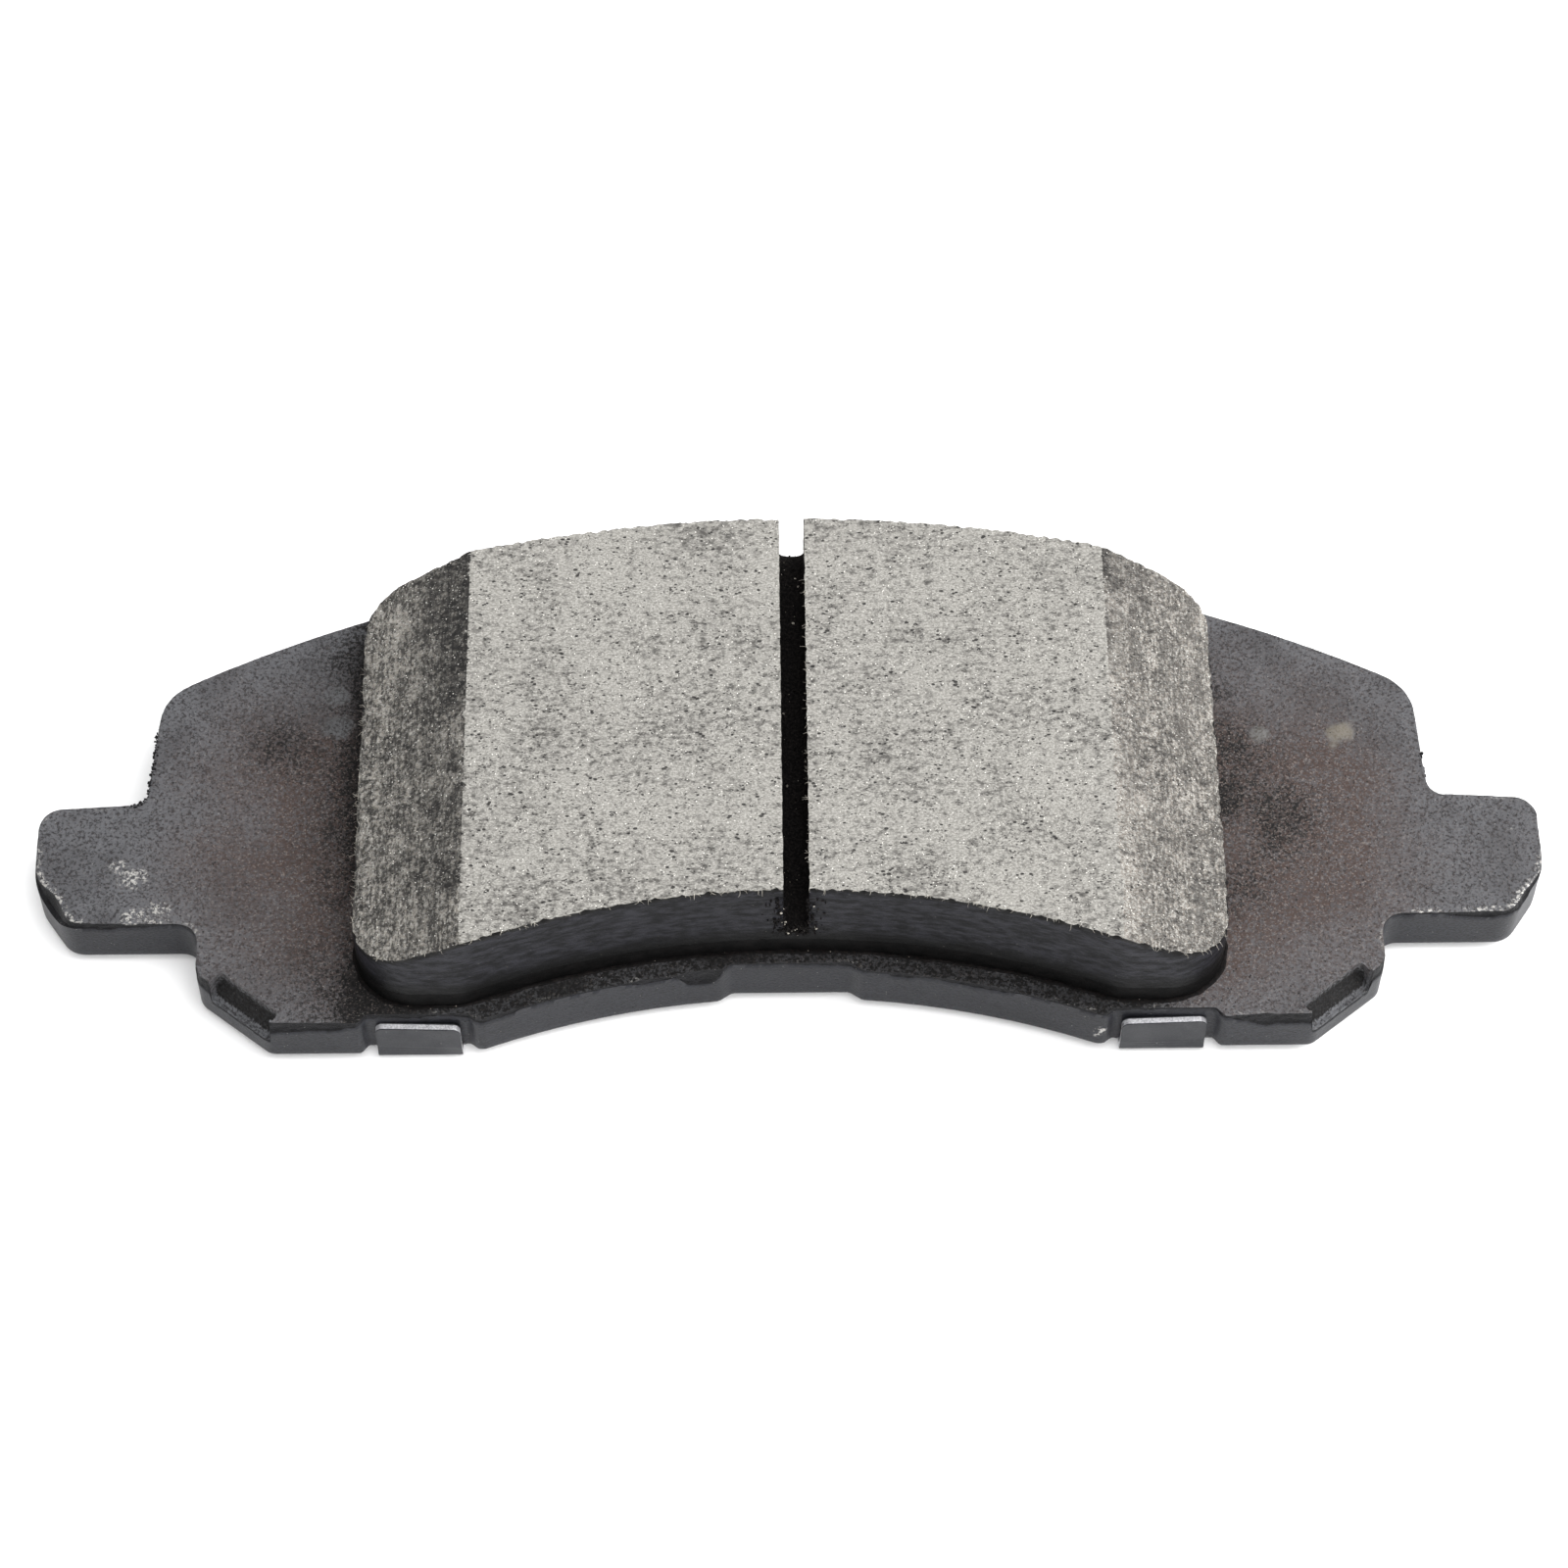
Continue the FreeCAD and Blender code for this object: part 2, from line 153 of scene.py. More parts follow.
class Bench:
    # lays out the nodes of one finish
    def __init__(self, name, roughness=0.5, metallic=0.0, shine=0.5):
        self.material = bpy.data.materials.new(name)
        self.material.use_nodes = True
        self.tree = self.material.node_tree
        self.shader = self.tree.nodes["Principled BSDF"]
        self.shader.inputs["Roughness"].default_value = roughness
        self.shader.inputs["Metallic"].default_value = metallic
        self.shader.inputs["Specular IOR Level"].default_value = shine
        self.place = self.add("ShaderNodeTexCoord").outputs["Object"]

    def add(self, kind, **settings):
        node = self.tree.nodes.new(kind)
        for name, value in settings.items():
            setattr(node, name, value)
        return node

    def feed(self, socket, value):
        if isinstance(value, bpy.types.NodeSocket):
            self.tree.links.new(value, socket)
        else:
            socket.default_value = value

    def shifted(self, seed, stretch=(1, 1, 1), turn=(0, 0, 0)):
        moved = self.add("ShaderNodeMapping")
        self.feed(moved.inputs["Vector"], self.place)
        moved.inputs["Location"].default_value = (seed * 0.0371, seed * 0.0173, seed * 0.0219)
        moved.inputs["Rotation"].default_value = turn
        moved.inputs["Scale"].default_value = [1 / s for s in stretch]
        return moved.outputs["Vector"]

    # cloudy noise, size in metres
    def grain(self, size, seed=0, detail=2.0, rough=0.5, stretch=(1, 1, 1), turn=(0, 0, 0)):
        cloud = self.add("ShaderNodeTexNoise")
        self.feed(cloud.inputs["Vector"], self.shifted(seed, stretch, turn))
        cloud.inputs["Scale"].default_value = 1 / size
        cloud.inputs["Detail"].default_value = detail
        cloud.inputs["Roughness"].default_value = rough
        return cloud.outputs["Fac"]

    # distance to scattered grains, 0 at a grain's middle
    def grains(self, size, seed=0, stretch=(1, 1, 1), turn=(0, 0, 0), wanted="Distance"):
        cells = self.add("ShaderNodeTexVoronoi")
        self.feed(cells.inputs["Vector"], self.shifted(seed, stretch, turn))
        cells.inputs["Scale"].default_value = 1 / size
        return cells.outputs[wanted]

    def painted(self, name):
        return self.add("ShaderNodeAttribute", attribute_name=name).outputs["Fac"]

    # a value pulled from one range to another, clamped
    def pull(self, value, low, high, bottom=0.0, top=1.0):
        ranged = self.add("ShaderNodeMapRange", interpolation_type="SMOOTHSTEP")
        self.feed(ranged.inputs["Value"], value)
        ranged.inputs["From Min"].default_value = low
        ranged.inputs["From Max"].default_value = high
        ranged.inputs["To Min"].default_value = bottom
        ranged.inputs["To Max"].default_value = top
        return ranged.outputs["Result"]

    def work(self, kind, first, second=0.0):
        result = self.add("ShaderNodeMath", operation=kind)
        self.feed(result.inputs[0], first)
        self.feed(result.inputs[1], second)
        return result.outputs[0]

    def times(self, first, second):
        return self.work("MULTIPLY", first, second)

    # a sum of values, each with its own weight
    def weigh(self, *pairs):
        total = None
        for value, weight in pairs:
            part = value if weight == 1 else self.times(value, weight)
            total = part if total is None else self.work("ADD", total, part)
        return total

    def blend(self, amount, under, over):
        mix = self.add("ShaderNodeMix", data_type="RGBA")
        self.feed(mix.inputs[0], amount)
        self.feed(mix.inputs[6], under)
        self.feed(mix.inputs[7], over)
        return mix.outputs[2]

    # one more colour over what is there, by an amount and a share of it
    def cover(self, colour, amount, over, share=1.0):
        return self.blend(amount if share == 1 else self.times(amount, share), colour, tint(*over))

    def axis(self, name):
        split = self.add("ShaderNodeSeparateXYZ")
        self.feed(split.inputs[0], self.place)
        return split.outputs[name]

    def relief(self, height, depth, strength=1.0):
        bump = self.add("ShaderNodeBump")
        bump.inputs["Strength"].default_value = strength
        bump.inputs["Distance"].default_value = depth
        self.feed(bump.inputs["Height"], height)
        return bump.outputs["Normal"]

    def done(self, **sockets):
        names = {
            "colour": "Base Color",
            "roughness": "Roughness",
            "normal": "Normal",
            "metallic": "Metallic",
        }
        for name, value in sockets.items():
            self.feed(self.shader.inputs[names[name]], value)
        return self.material


def outlineOf(node, level):
    # the longest closed line of a node's walls at a level, counter-clockwise
    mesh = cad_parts[node].data
    near = 2e-6
    links = {}
    for side in mesh.polygons:
        if abs(side.normal.z) > 0.999:
            continue
        for a, b in side.edge_keys:
            ends = [mesh.vertices[a].co, mesh.vertices[b].co]
            if all(abs(end.z - level) < near for end in ends):
                keys = [(round(end.x, 6), round(end.y, 6)) for end in ends]
                if keys[0] != keys[1]:
                    links.setdefault(keys[0], set()).add(keys[1])
                    links.setdefault(keys[1], set()).add(keys[0])
    loops = []
    while links:
        start = next(iter(links))
        loop, here = [start], start
        while True:
            onward = [k for k in links.pop(here, ()) if k in links]
            if not onward:
                break
            here = onward[0]
            loop.append(here)
        loops.append(np.array(loop))
    longest = max(loops, key=lambda line: len(line) and np.hypot(*np.diff(line, axis=0).T).sum())
    x, y = longest.T
    turning = np.sum(x * np.roll(y, -1) - y * np.roll(x, -1))
    return longest if turning > 0 else longest[::-1]


def circleRing(centre, radius, count=72):
    turn = np.linspace(0, 2 * math.pi, count, endpoint=False)
    return np.column_stack([centre[0] + radius * np.cos(turn), centre[1] + radius * np.sin(turn)])


def pathLength(path):
    return np.concatenate([[0], np.cumsum(np.hypot(*np.diff(path, axis=0).T))])


def pointsAlong(path, count, weight=None):
    # count points on an open path, ends included; weight draws them closer where it is high
    along = pathLength(path)
    if weight is not None:
        fine = np.linspace(0, along[-1], count * 8)
        places = np.column_stack([np.interp(fine, along, path[:, k]) for k in (0, 1)])
        pull = weight(places)
        share = np.concatenate([[0], np.cumsum((pull[1:] + pull[:-1]) / 2)])
        at = np.interp(np.linspace(0, share[-1], count), share, fine)
    else:
        at = np.linspace(0, along[-1], count)
    return np.column_stack([np.interp(at, along, path[:, k]) for k in (0, 1)])


def closedPoints(loop, spacing, weight=None):
    path = np.vstack([loop, loop[:1]])
    length = pathLength(path)[-1]
    if weight is not None:
        fine = pointsAlong(path, int(length / spacing))
        length = length * weight(fine).mean()
    return pointsAlong(path, int(length / spacing) + 1, weight)[:-1]


def outwardOf(loop, reach=2, smoothing=2):
    tangent = np.roll(loop, -reach, axis=0) - np.roll(loop, reach, axis=0)
    out = np.column_stack([tangent[:, 1], -tangent[:, 0]])
    for _ in range(smoothing):
        out = out / np.hypot(*out.T)[:, None]
        out = (np.roll(out, 1, axis=0) + 2 * out + np.roll(out, -1, axis=0)) / 4
    return out / np.hypot(*out.T)[:, None]


def rough(place, size, seed=0.0):
    # smooth noise from about -1 to 1, features of about that size
    x, y, z = place
    return noise.noise(Vector((x / size + seed * 7.3, y / size + seed * 3.1, z / size - seed * 5.7)))


def roughAll(places, size, seed=0.0, octaves=1):
    total = np.zeros(len(places))
    for step in range(octaves):
        total += [rough(p, size / 2**step, seed + step) / 1.6**step for p in places]
    return total


def ease(value, low, high):
    share = np.clip((value - low) / (high - low), 0, 1)
    return share * share * (3 - 2 * share)


def scatter(box, spacing, seed, jitter=0.28):
    # a jittered triangular grid over a box (xmin, xmax, ymin, ymax)
    dice = np.random.default_rng(seed)
    rows = []
    rise = spacing * math.sqrt(3) / 2
    for k, y in enumerate(np.arange(box[2], box[3], rise)):
        x = np.arange(box[0] + (k % 2) * spacing / 2, box[1], spacing)
        rows.append(np.column_stack([x, np.full(len(x), y)]))
    grid = np.vstack(rows)
    return grid + dice.uniform(-jitter, jitter, grid.shape) * spacing


def clearOf(points, lines, gap):
    # the points that stay a gap away from all lines' points
    tree = kdtree.KDTree(sum(len(line) for line in lines))
    count = 0
    for line in lines:
        for x, y in line:
            tree.insert((x, y, 0), count)
            count += 1
    tree.balance()
    return np.array([p for p in points if tree.find((p[0], p[1], 0))[2] > gap])


class Shell:
    # one piece's mesh while it is built: points, faces, and a finish number for each face
    def __init__(self):
        self.points = []
        self.faces = []
        self.finishes = []

    def put(self, points):
        start = len(self.points)
        self.points.extend(tuple(p) for p in points)
        return np.arange(start, len(self.points))

    def spots(self, indices):
        return np.array([self.points[i] for i in indices])

    def face(self, corners, finish):
        self.faces.append(tuple(int(c) for c in corners))
        self.finishes.append(finish)

    # quads between rows of equal length, the rows running up and each row counter-clockwise
    def wall(self, rows, finish, closed=True):
        for low, high in zip(rows, rows[1:]):
            count = len(low)
            for k in range(count if closed else count - 1):
                n = (k + 1) % count
                mark = finish(low[k]) if callable(finish) else finish
                self.face((low[k], low[n], high[n], high[k]), mark)

    # triangles over closed rings and loose inner points; rings after the first are holes
    def fill(self, rings, inner, finish, upward=True):
        order = np.concatenate([*rings, inner]).astype(int)
        flat = [Vector((self.points[i][0] / mm, self.points[i][1] / mm)) for i in order]
        fences, start = [], 0
        for ring in rings:
            count = len(ring)
            fences += [(start + k, start + (k + 1) % count) for k in range(count)]
            start += count
        _, _, triangles, source, _, _ = geometry.delaunay_2d_cdt(flat, fences, [], 2, 1e-5)
        for corners in triangles:
            if all(source[c] for c in corners):
                ids = [order[source[c][0]] for c in corners]
                mark = finish(ids) if callable(finish) else finish
                self.face(ids if upward else ids[::-1], mark)

    # a tapered fibre along points, three-sided and closed
    def fibre(self, path, radius, finish):
        rings = []
        for k, spot in enumerate(path):
            onward = path[min(k + 1, len(path) - 1)] - path[max(k - 1, 0)]
            side = onward.orthogonal().normalized()
            other = onward.cross(side).normalized()
            size = radius * (1 - 0.6 * k / (len(path) - 1))
            ring = [spot + size * (side * math.cos(a) + other * math.sin(a)) for a in (0, 2.094, 4.189)]
            rings.append(self.put(ring))
        self.wall(rings, finish)
        self.face(rings[0][::-1], finish)
        self.face(rings[-1], finish)

    # an uneven lump, closed
    def crumb(self, spot, size, finish, dice):
        lump = bmesh.new()
        bmesh.ops.create_icosphere(lump, subdivisions=1, radius=1.0)
        squash = Vector([dice.uniform(0.55, 1.2) for _ in range(3)])
        corners = []
        for v in lump.verts:
            corner = Vector([c * s for c, s in zip(v.co, squash)]) * size * dice.uniform(0.7, 1.25)
            corners.append(Vector(spot) + corner)
        ids = self.put(corners)
        for face in lump.faces:
            self.face([ids[v.index] for v in face.verts], finish)
        lump.free()

    def toPiece(self, name, finishes, replaced, sharp=40.0, paints=None):
        mesh = bpy.data.meshes.new(name)
        mesh.from_pydata([tuple(p) for p in self.points], [], self.faces)
        for material in finishes:
            mesh.materials.append(material)
        mesh.polygons.foreach_set("material_index", self.finishes)
        mesh.polygons.foreach_set("use_smooth", [True] * len(self.faces))
        for label, values in (paints or {}).items():
            layer = mesh.attributes.new(label, "FLOAT", "POINT")
            layer.data.foreach_set("value", np.asarray(values, np.float32))
        mesh.set_sharp_from_angle(angle=math.radians(sharp))
        mesh.validate()
        loose = bmesh.new()
        loose.from_mesh(mesh)
        bmesh.ops.delete(loose, geom=[v for v in loose.verts if not v.link_faces], context="VERTS")
        loose.to_mesh(mesh)
        loose.free()
        piece = bpy.data.objects.new(name, mesh)
        bpy.context.scene.collection.objects.link(piece)
        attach(piece, "root")
        if replaced:
            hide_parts(replaced)
        print(f"{name}: {len(mesh.vertices)} points, {len(mesh.polygons)} faces")


def makeFloor(style):
    bench = Bench("studioPaper", roughness=0.9)
    bench.shader.inputs["Emission Color"].default_value = (1.0, 1.0, 1.0, 1.0)
    bench.shader.inputs["Emission Strength"].default_value = style["floorGlow"]
    fleck = bench.grain(0.02, seed=3, detail=3)
    white = style["floorWhite"]
    colour = bench.blend(fleck, (white,) * 3 + (1,), (white * 0.985, white * 0.985, white * 0.99, 1))
    half = style["floorHalf"]
    mesh = bpy.data.meshes.new("studioFloor")
    corners = [(-half, -half, 0), (half, -half, 0), (half, half, 0), (-half, half, 0)]
    mesh.from_pydata(corners, [], [(0, 1, 2, 3)])
    mesh.materials.append(bench.done(colour=colour))
    floor = bpy.data.objects.new("studioFloor", mesh)
    floor.location.z = cadBounds[0].z - style["floorGap"]
    bpy.context.scene.collection.objects.link(floor)


makeFloor(studio)


# colours of the friction lining, 0 to 255
frictionLook = {
    "face": (126, 124, 119),
    "faceDark": (62, 60, 58),
    "facePale": (157, 155, 150),
    # pit colour: painted shade inside the pits
    "pitShade": (30, 29, 29),
    "fleck": (236, 233, 226),
    "leftEnd": (132, 127, 119),
    "leftEndDark": (27, 26, 26),
    "rightEnd": (118, 112, 105),
    "rightEndDark": (42, 40, 39),
    "wall": (31, 31, 37),
    "wallDark": (9, 9, 12),
    "wallScar": (9, 9, 10),
    # painted shade along the wall's foot
    "wallFootShade": (3, 3, 3),
    "wallFringe": (9, 8, 8),
    "dust": (110, 106, 100),
    "slot": (12, 11, 11),
    "slotGrit": (34, 31, 30),
    "slotSpark": (150, 145, 130),
    "fibre": (190, 184, 172),
    "fibreDark": (96, 92, 86),
}


def rubbedFinish(name, look, base, dark, pitShare, smearShare=0.0):
    # the ground surface: packed grains, pits, bright flecks and short fibres
    bench = Bench(name, roughness=0.85, shine=0.25)
    speck = bench.grain(0.17 * mm, seed=1, detail=3, rough=0.7, stretch=(1.5, 1, 1))
    coarse = bench.grain(0.55 * mm, seed=2, detail=4, rough=0.7, stretch=(1.5, 1, 1))
    patch = bench.grain(8.0 * mm, seed=4, detail=4, rough=0.65)
    colour = bench.blend(bench.pull(speck, 0.42, 0.60), tint(*look[base]), tint(*look["facePale"]))
    grime = bench.weigh((coarse, 0.7), (patch, 0.3))
    colour = bench.cover(colour, bench.pull(grime, 0.45, 0.66, 0.0, 0.9), look[dark])
    pitMasks = []
    for size, seed in ((0.42 * mm, 5), (0.25 * mm, 7)):
        cell = bench.grains(size, seed=seed, stretch=(1.6, 1, 1), turn=(0, 0, 0.3 * seed))
        room = bench.pull(bench.grain(size * 3, seed=seed + 1), 0.38, 0.70, 0.0, pitShare + 0.16)
        pitMasks.append(bench.pull(bench.work("SUBTRACT", room, cell), 0.0, 0.09))
    pitMask = bench.work("MAXIMUM", pitMasks[0], bench.times(pitMasks[1], 0.8))
    # the pits, the shader's and the carved ones, are darkened: painted shade in the pits
    colour = bench.cover(colour, pitMask, look["pitShade"], 0.9)
    colour = bench.cover(colour, bench.pull(bench.painted("pitShade"), 0.10, 0.8), look["pitShade"], 0.45)
    # metal flecks and chopped fibres
    flecks = bench.pull(bench.grains(0.42 * mm, seed=8), 0.19, 0.08)
    flecks = bench.times(flecks, bench.pull(bench.grain(1.0 * mm, seed=9), 0.47, 0.56))
    hair = 0.0
    for k, angle in enumerate((0.5, 1.7, 2.7)):
        line = bench.grains(0.5 * mm, seed=11 + k, stretch=(2.4, 0.34, 1), turn=(0, 0, angle))
        hair = bench.work("MAXIMUM", hair, bench.pull(line, 0.13, 0.06))
    bright = bench.work("MAXIMUM", flecks, bench.times(hair, 0.5))
    lift = bench.work("SUBTRACT", bench.weigh((speck, 1), (bright, 0.35)), bench.times(pitMask, 0.9))
    if smearShare:
        # the grinding wheel smeared the dark binder over the grains, in lines across the pad
        smear = bench.grain(0.26 * mm, seed=15, detail=4, rough=0.75, stretch=(1, 1.9, 1))
        lines = bench.grain(0.30 * mm, seed=16, rough=0.6, stretch=(1, 60, 1))
        clump = bench.grain(1.5 * mm, seed=17, detail=4, rough=0.65, stretch=(1, 1.6, 1))
        film = bench.pull(bench.weigh((smear, 0.55), (lines, 0.15), (clump, 0.30)), 0.445, 0.56)
        film = bench.times(film, bench.painted("reach"))
        colour = bench.cover(colour, film, look[dark], smearShare)
        shade = bench.times(bench.painted("endShade"), bench.pull(coarse, 0.30, 0.56, 0.45, 1.0))
        colour = bench.cover(colour, shade, look["leftEndDark"])
        lift = bench.work("SUBTRACT", lift, bench.times(film, 0.5))
    return bench.done(
        colour=bench.cover(colour, bright, look["fleck"]),
        normal=bench.relief(lift, 0.12 * mm),
        roughness=bench.pull(bright, 0.0, 1.0, 0.85, 0.45),
    )


def mouldedFinish(look):
    # the pressed side of the lining: near black, satin, faintly dragged along the mould
    bench = Bench("mouldedSide", roughness=0.5, shine=0.12)
    drag = bench.grain(0.7 * mm, seed=21, detail=5, rough=0.7, stretch=(2.6, 2.6, 0.8))
    fine = bench.grain(0.16 * mm, seed=22, rough=0.6)
    colour = bench.blend(bench.pull(drag, 0.38, 0.64), tint(*look["wallDark"]), tint(*look["wall"]))
    scars = bench.grain(0.5 * mm, seed=24, detail=3, rough=0.6, stretch=(4, 4, 0.7))
    colour = bench.cover(colour, bench.pull(scars, 0.58, 0.66), look["wallScar"], 0.7)
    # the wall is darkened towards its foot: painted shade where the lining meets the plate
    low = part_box("friction_block")[0].z
    foot = bench.pull(bench.axis("Z"), low + 0.3 * mm, low + 2.6 * mm, 1.0, 0.0)
    colour = bench.cover(colour, foot, look["wallFootShade"], 0.95)
    ragged = bench.weigh((bench.painted("fringe"), 1), (bench.grain(0.45 * mm, seed=25, detail=3), 0.9))
    colour = bench.cover(colour, bench.pull(ragged, 0.9, 1.12), look["wallFringe"])
    dust = bench.pull(bench.grains(1.1 * mm, seed=23), 0.07, 0.03)
    colour = bench.cover(colour, dust, look["dust"], 0.4)
    return bench.done(
        colour=colour,
        normal=bench.relief(bench.weigh((drag, 0.9), (fine, 0.35)), 0.09 * mm, 0.8),
        roughness=bench.pull(drag, 0.3, 0.7, 0.6, 0.4),
    )


def slotFinish(look):
    bench = Bench("sawnSlot", roughness=0.9, shine=0.1)
    grit = bench.grain(0.25 * mm, seed=31, detail=3, rough=0.7)
    spark = bench.pull(bench.grains(0.5 * mm, seed=32), 0.14, 0.05)
    spark = bench.times(spark, bench.pull(bench.grain(1.2 * mm, seed=33), 0.46, 0.60))
    colour = bench.blend(bench.pull(grit, 0.40, 0.7), tint(*look["slot"]), tint(*look["slotGrit"]))
    colour = bench.cover(colour, spark, look["slotSpark"], 0.7)
    return bench.done(colour=colour, normal=bench.relief(grit, 0.14 * mm))


def fibreFinish(look):
    bench = Bench("looseFibre", roughness=0.6)
    tone = bench.grain(0.5 * mm, seed=35)
    return bench.done(colour=bench.blend(tone, tint(*look["fibre"]), tint(*look["fibreDark"])))


liningFinishes = [
    rubbedFinish("rubbedFace", frictionLook, "face", "faceDark", 0.20),
    rubbedFinish("groundLeftEnd", frictionLook, "leftEnd", "leftEndDark", 0.10, 0.85),
    rubbedFinish("groundRightEnd", frictionLook, "rightEnd", "rightEndDark", 0.12, 0.70),
    mouldedFinish(frictionLook),
    slotFinish(frictionLook),
    fibreFinish(frictionLook),
]
print("lining finishes mixed")


block = {
    "wallStep": 0.27 * mm,
    "faceStep": 0.31 * mm,
    "footBand": 0.5 * mm,        # plain band below the wall's first level
    "levels": 30,                # from the foot band to the face
    "floorLevel": 4,             # the level at which the slot's floor starts
    "draft": 0.12 * mm,
    "slotWidth": 2.3 * mm,
    "slotShift": 0.5 * mm,
    "slotDepth": 6.9 * mm,
    "floorRise": 0.55 * mm,      # the saw ran out at the outer end
    "floorFall": 0.5 * mm,       # and broke the mouth at the inner end
    "slotFillet": 0.45 * mm,     # how far the slot's floor rises at its sides
    "brokenHalf": 1.7 * mm,      # half the width of the broken patch at the inner mouth
    "mouthBreak": 0.55 * mm,
    "dentDepth": 0.12 * mm,
    "flatHalf": 29.2 * mm,
    "endDrop": 4.7 * mm,
    "wallRough": 0.035 * mm,
    "chipDepth": 0.30 * mm,
    "pitDepth": 0.12 * mm,
    "fibres": 260,
    "crumbs": 620,
    "seed": 11,
}


def blockTop(x):
    # the rubbed face and its end slopes
    low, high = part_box("friction_block")
    run = high.x - block["flatHalf"]
    fall = np.clip((np.abs(x) - block["flatHalf"]) / run, 0, 1.1)
    return high.z - block["endDrop"] * fall


def crossingPaths(loop, left, right):
    # the outline cut where the slot crosses it: left half, inner mouth, right half, outer mouth
    path = closedPoints(loop, 0.05 * mm)
    start = np.argmin(np.where(path[:, 1] > 0, np.abs(path[:, 0] - left), 1))
    path = np.roll(path, -start, axis=0)
    innerLeft = np.argmin(np.where(path[:, 1] < 0, np.abs(path[:, 0] - left), 1))
    innerRight = np.argmin(np.where(path[:, 1] < 0, np.abs(path[:, 0] - right), 1))
    outerRight = np.argmin(np.where(path[:, 1] > 0, np.abs(path[:, 0] - right), 1))
    for at, x in ((0, left), (innerLeft, left), (innerRight, right), (outerRight, right)):
        path[at, 0] = x
    ends = np.vstack([path, path[:1]])
    return (
        ends[: innerLeft + 1],
        ends[innerLeft : innerRight + 1],
        ends[innerRight : outerRight + 1],
        ends[outerRight:],
    )


def carvePits(x, y):
    # depth share of the pits at a place on the rubbed face
    places = np.column_stack([x, y, np.zeros(len(x))])
    fine = roughAll(places, 0.7 * mm, 3.0, 2)
    patch = roughAll(places, 9.0 * mm, 5.0, 2)
    return np.clip((fine - 0.42 + 0.28 * patch) / 0.5, 0, 1)


def makeFrictionBlock():
    low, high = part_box("friction_block")
    left = block["slotShift"] - block["slotWidth"] / 2
    right = block["slotShift"] + block["slotWidth"] / 2
    step = block["wallStep"]
    halves = crossingPaths(outlineOf("friction_block", low.z), left, right)
    counts = [max(9, int(pathLength(part)[-1] / step)) for part in halves]
    parts = [pointsAlong(part, count + 1)[:-1] for part, count in zip(halves, counts)]
    ring = np.vstack(parts)
    leftOuter, leftInner = 0, counts[0]
    rightInner = counts[0] + counts[1]
    rightOuter = rightInner + counts[2]
    total = len(ring)
    out = outwardOf(ring)
    topZ = blockTop(ring[:, 0])
    firstZ = low.z + block["footBand"]
    floorZ = high.z - block["slotDepth"]
    levels, floorLevel = block["levels"], block["floorLevel"]
    shell = Shell()
    mouth = np.zeros(total, bool)
    mouth[leftInner + 1 : rightInner] = True
    mouth[rightOuter + 1 :] = True

    def floorShift(y):
        outer = ease(y, high.y - 7 * mm, high.y)
        inner = ease(-y, -low.y - 3 * mm, -low.y)
        return block["floorRise"] * outer - block["floorFall"] * inner

    def wallPoint(k, level):
        share = level / levels
        if mouth[k]:
            across = (ring[k, 0] - block["slotShift"]) / (block["slotWidth"] / 2)
            top = floorZ + floorShift(ring[k, 1]) + block["slotFillet"] * abs(across) ** 3
            z = firstZ + (top - firstZ) * level / floorLevel
        else:
            z = firstZ + (topZ[k] - firstZ) * share
            if k in (leftOuter, leftInner, rightInner, rightOuter):
                nearFloor = (1 - max(0, level - floorLevel) / (levels - floorLevel)) ** 2
                rise = floorShift(ring[k, 1]) + block["slotFillet"]
                z += rise * nearFloor * min(1, level / floorLevel)
        depth = (z - low.z) / (high.z - low.z)
        spot = np.array([*ring[k], z])
        grain = rough(spot, 1.6 * mm, 1) + 0.6 * rough(spot, 0.6 * mm, 2)
        push = -block["draft"] * depth + block["wallRough"] * grain
        # dents dragged along the mould, and chips along the rubbed edge
        dent = max(0, rough((spot[0], spot[1], z * 2.5), 4.0 * mm, 4) - 0.25)
        push -= block["dentDepth"] * dent
        edge = max(0.0, 1 - (topZ[k] - z) / (0.7 * mm)) if not mouth[k] else 0.0
        chip = max(0, rough(spot, 0.55 * mm, 6) + 0.15)
        push -= block["chipDepth"] * edge * chip
        nearMouth = math.exp(-((spot[0] - block["slotShift"]) / (1.75 * mm)) ** 4)
        nearMouth *= (spot[1] < 0) * (z > floorZ - 1.4 * mm)
        crumbling = max(0, rough(spot, 0.7 * mm, 8) + 0.25 + 0.5 * rough(spot, 0.3 * mm, 10))
        push -= block["mouthBreak"] * nearMouth * crumbling
        if level == levels and not mouth[k]:
            z -= 0.06 * mm * max(0, rough(spot, 0.5 * mm, 9) + 0.3)
        return (ring[k, 0] + out[k, 0] * push, ring[k, 1] + out[k, 1] * push, z)

    columns = []
    for k in range(total):
        height = floorLevel if mouth[k] else levels
        columns.append(shell.put([wallPoint(k, level) for level in range(height + 1)]))
    for k in range(total):
        here, onward = columns[k], columns[(k + 1) % total]
        height = min(len(here), len(onward)) - 1
        if mouth[k] or mouth[(k + 1) % total]:
            height = floorLevel
        for level in range(height):
            x, y, _ = shell.points[here[level]]
            broken = abs(x - block["slotShift"]) < block["brokenHalf"] and y < 0
            finish = 4 if broken and height == floorLevel and level > 1 else 3
            shell.face((here[level], onward[level], onward[level + 1], here[level + 1]), finish)

    # foot
    foot = shell.put([(x, y, low.z) for x, y in ring])
    shell.wall([foot, np.array([column[0] for column in columns])], 3)
    inner = clearOf(scatter((low.x, high.x, low.y, high.y), 3 * mm, 1), [ring], 1.2 * mm)
    shell.fill([foot], shell.put([(x, y, low.z) for x, y in inner]), 3, upward=False)

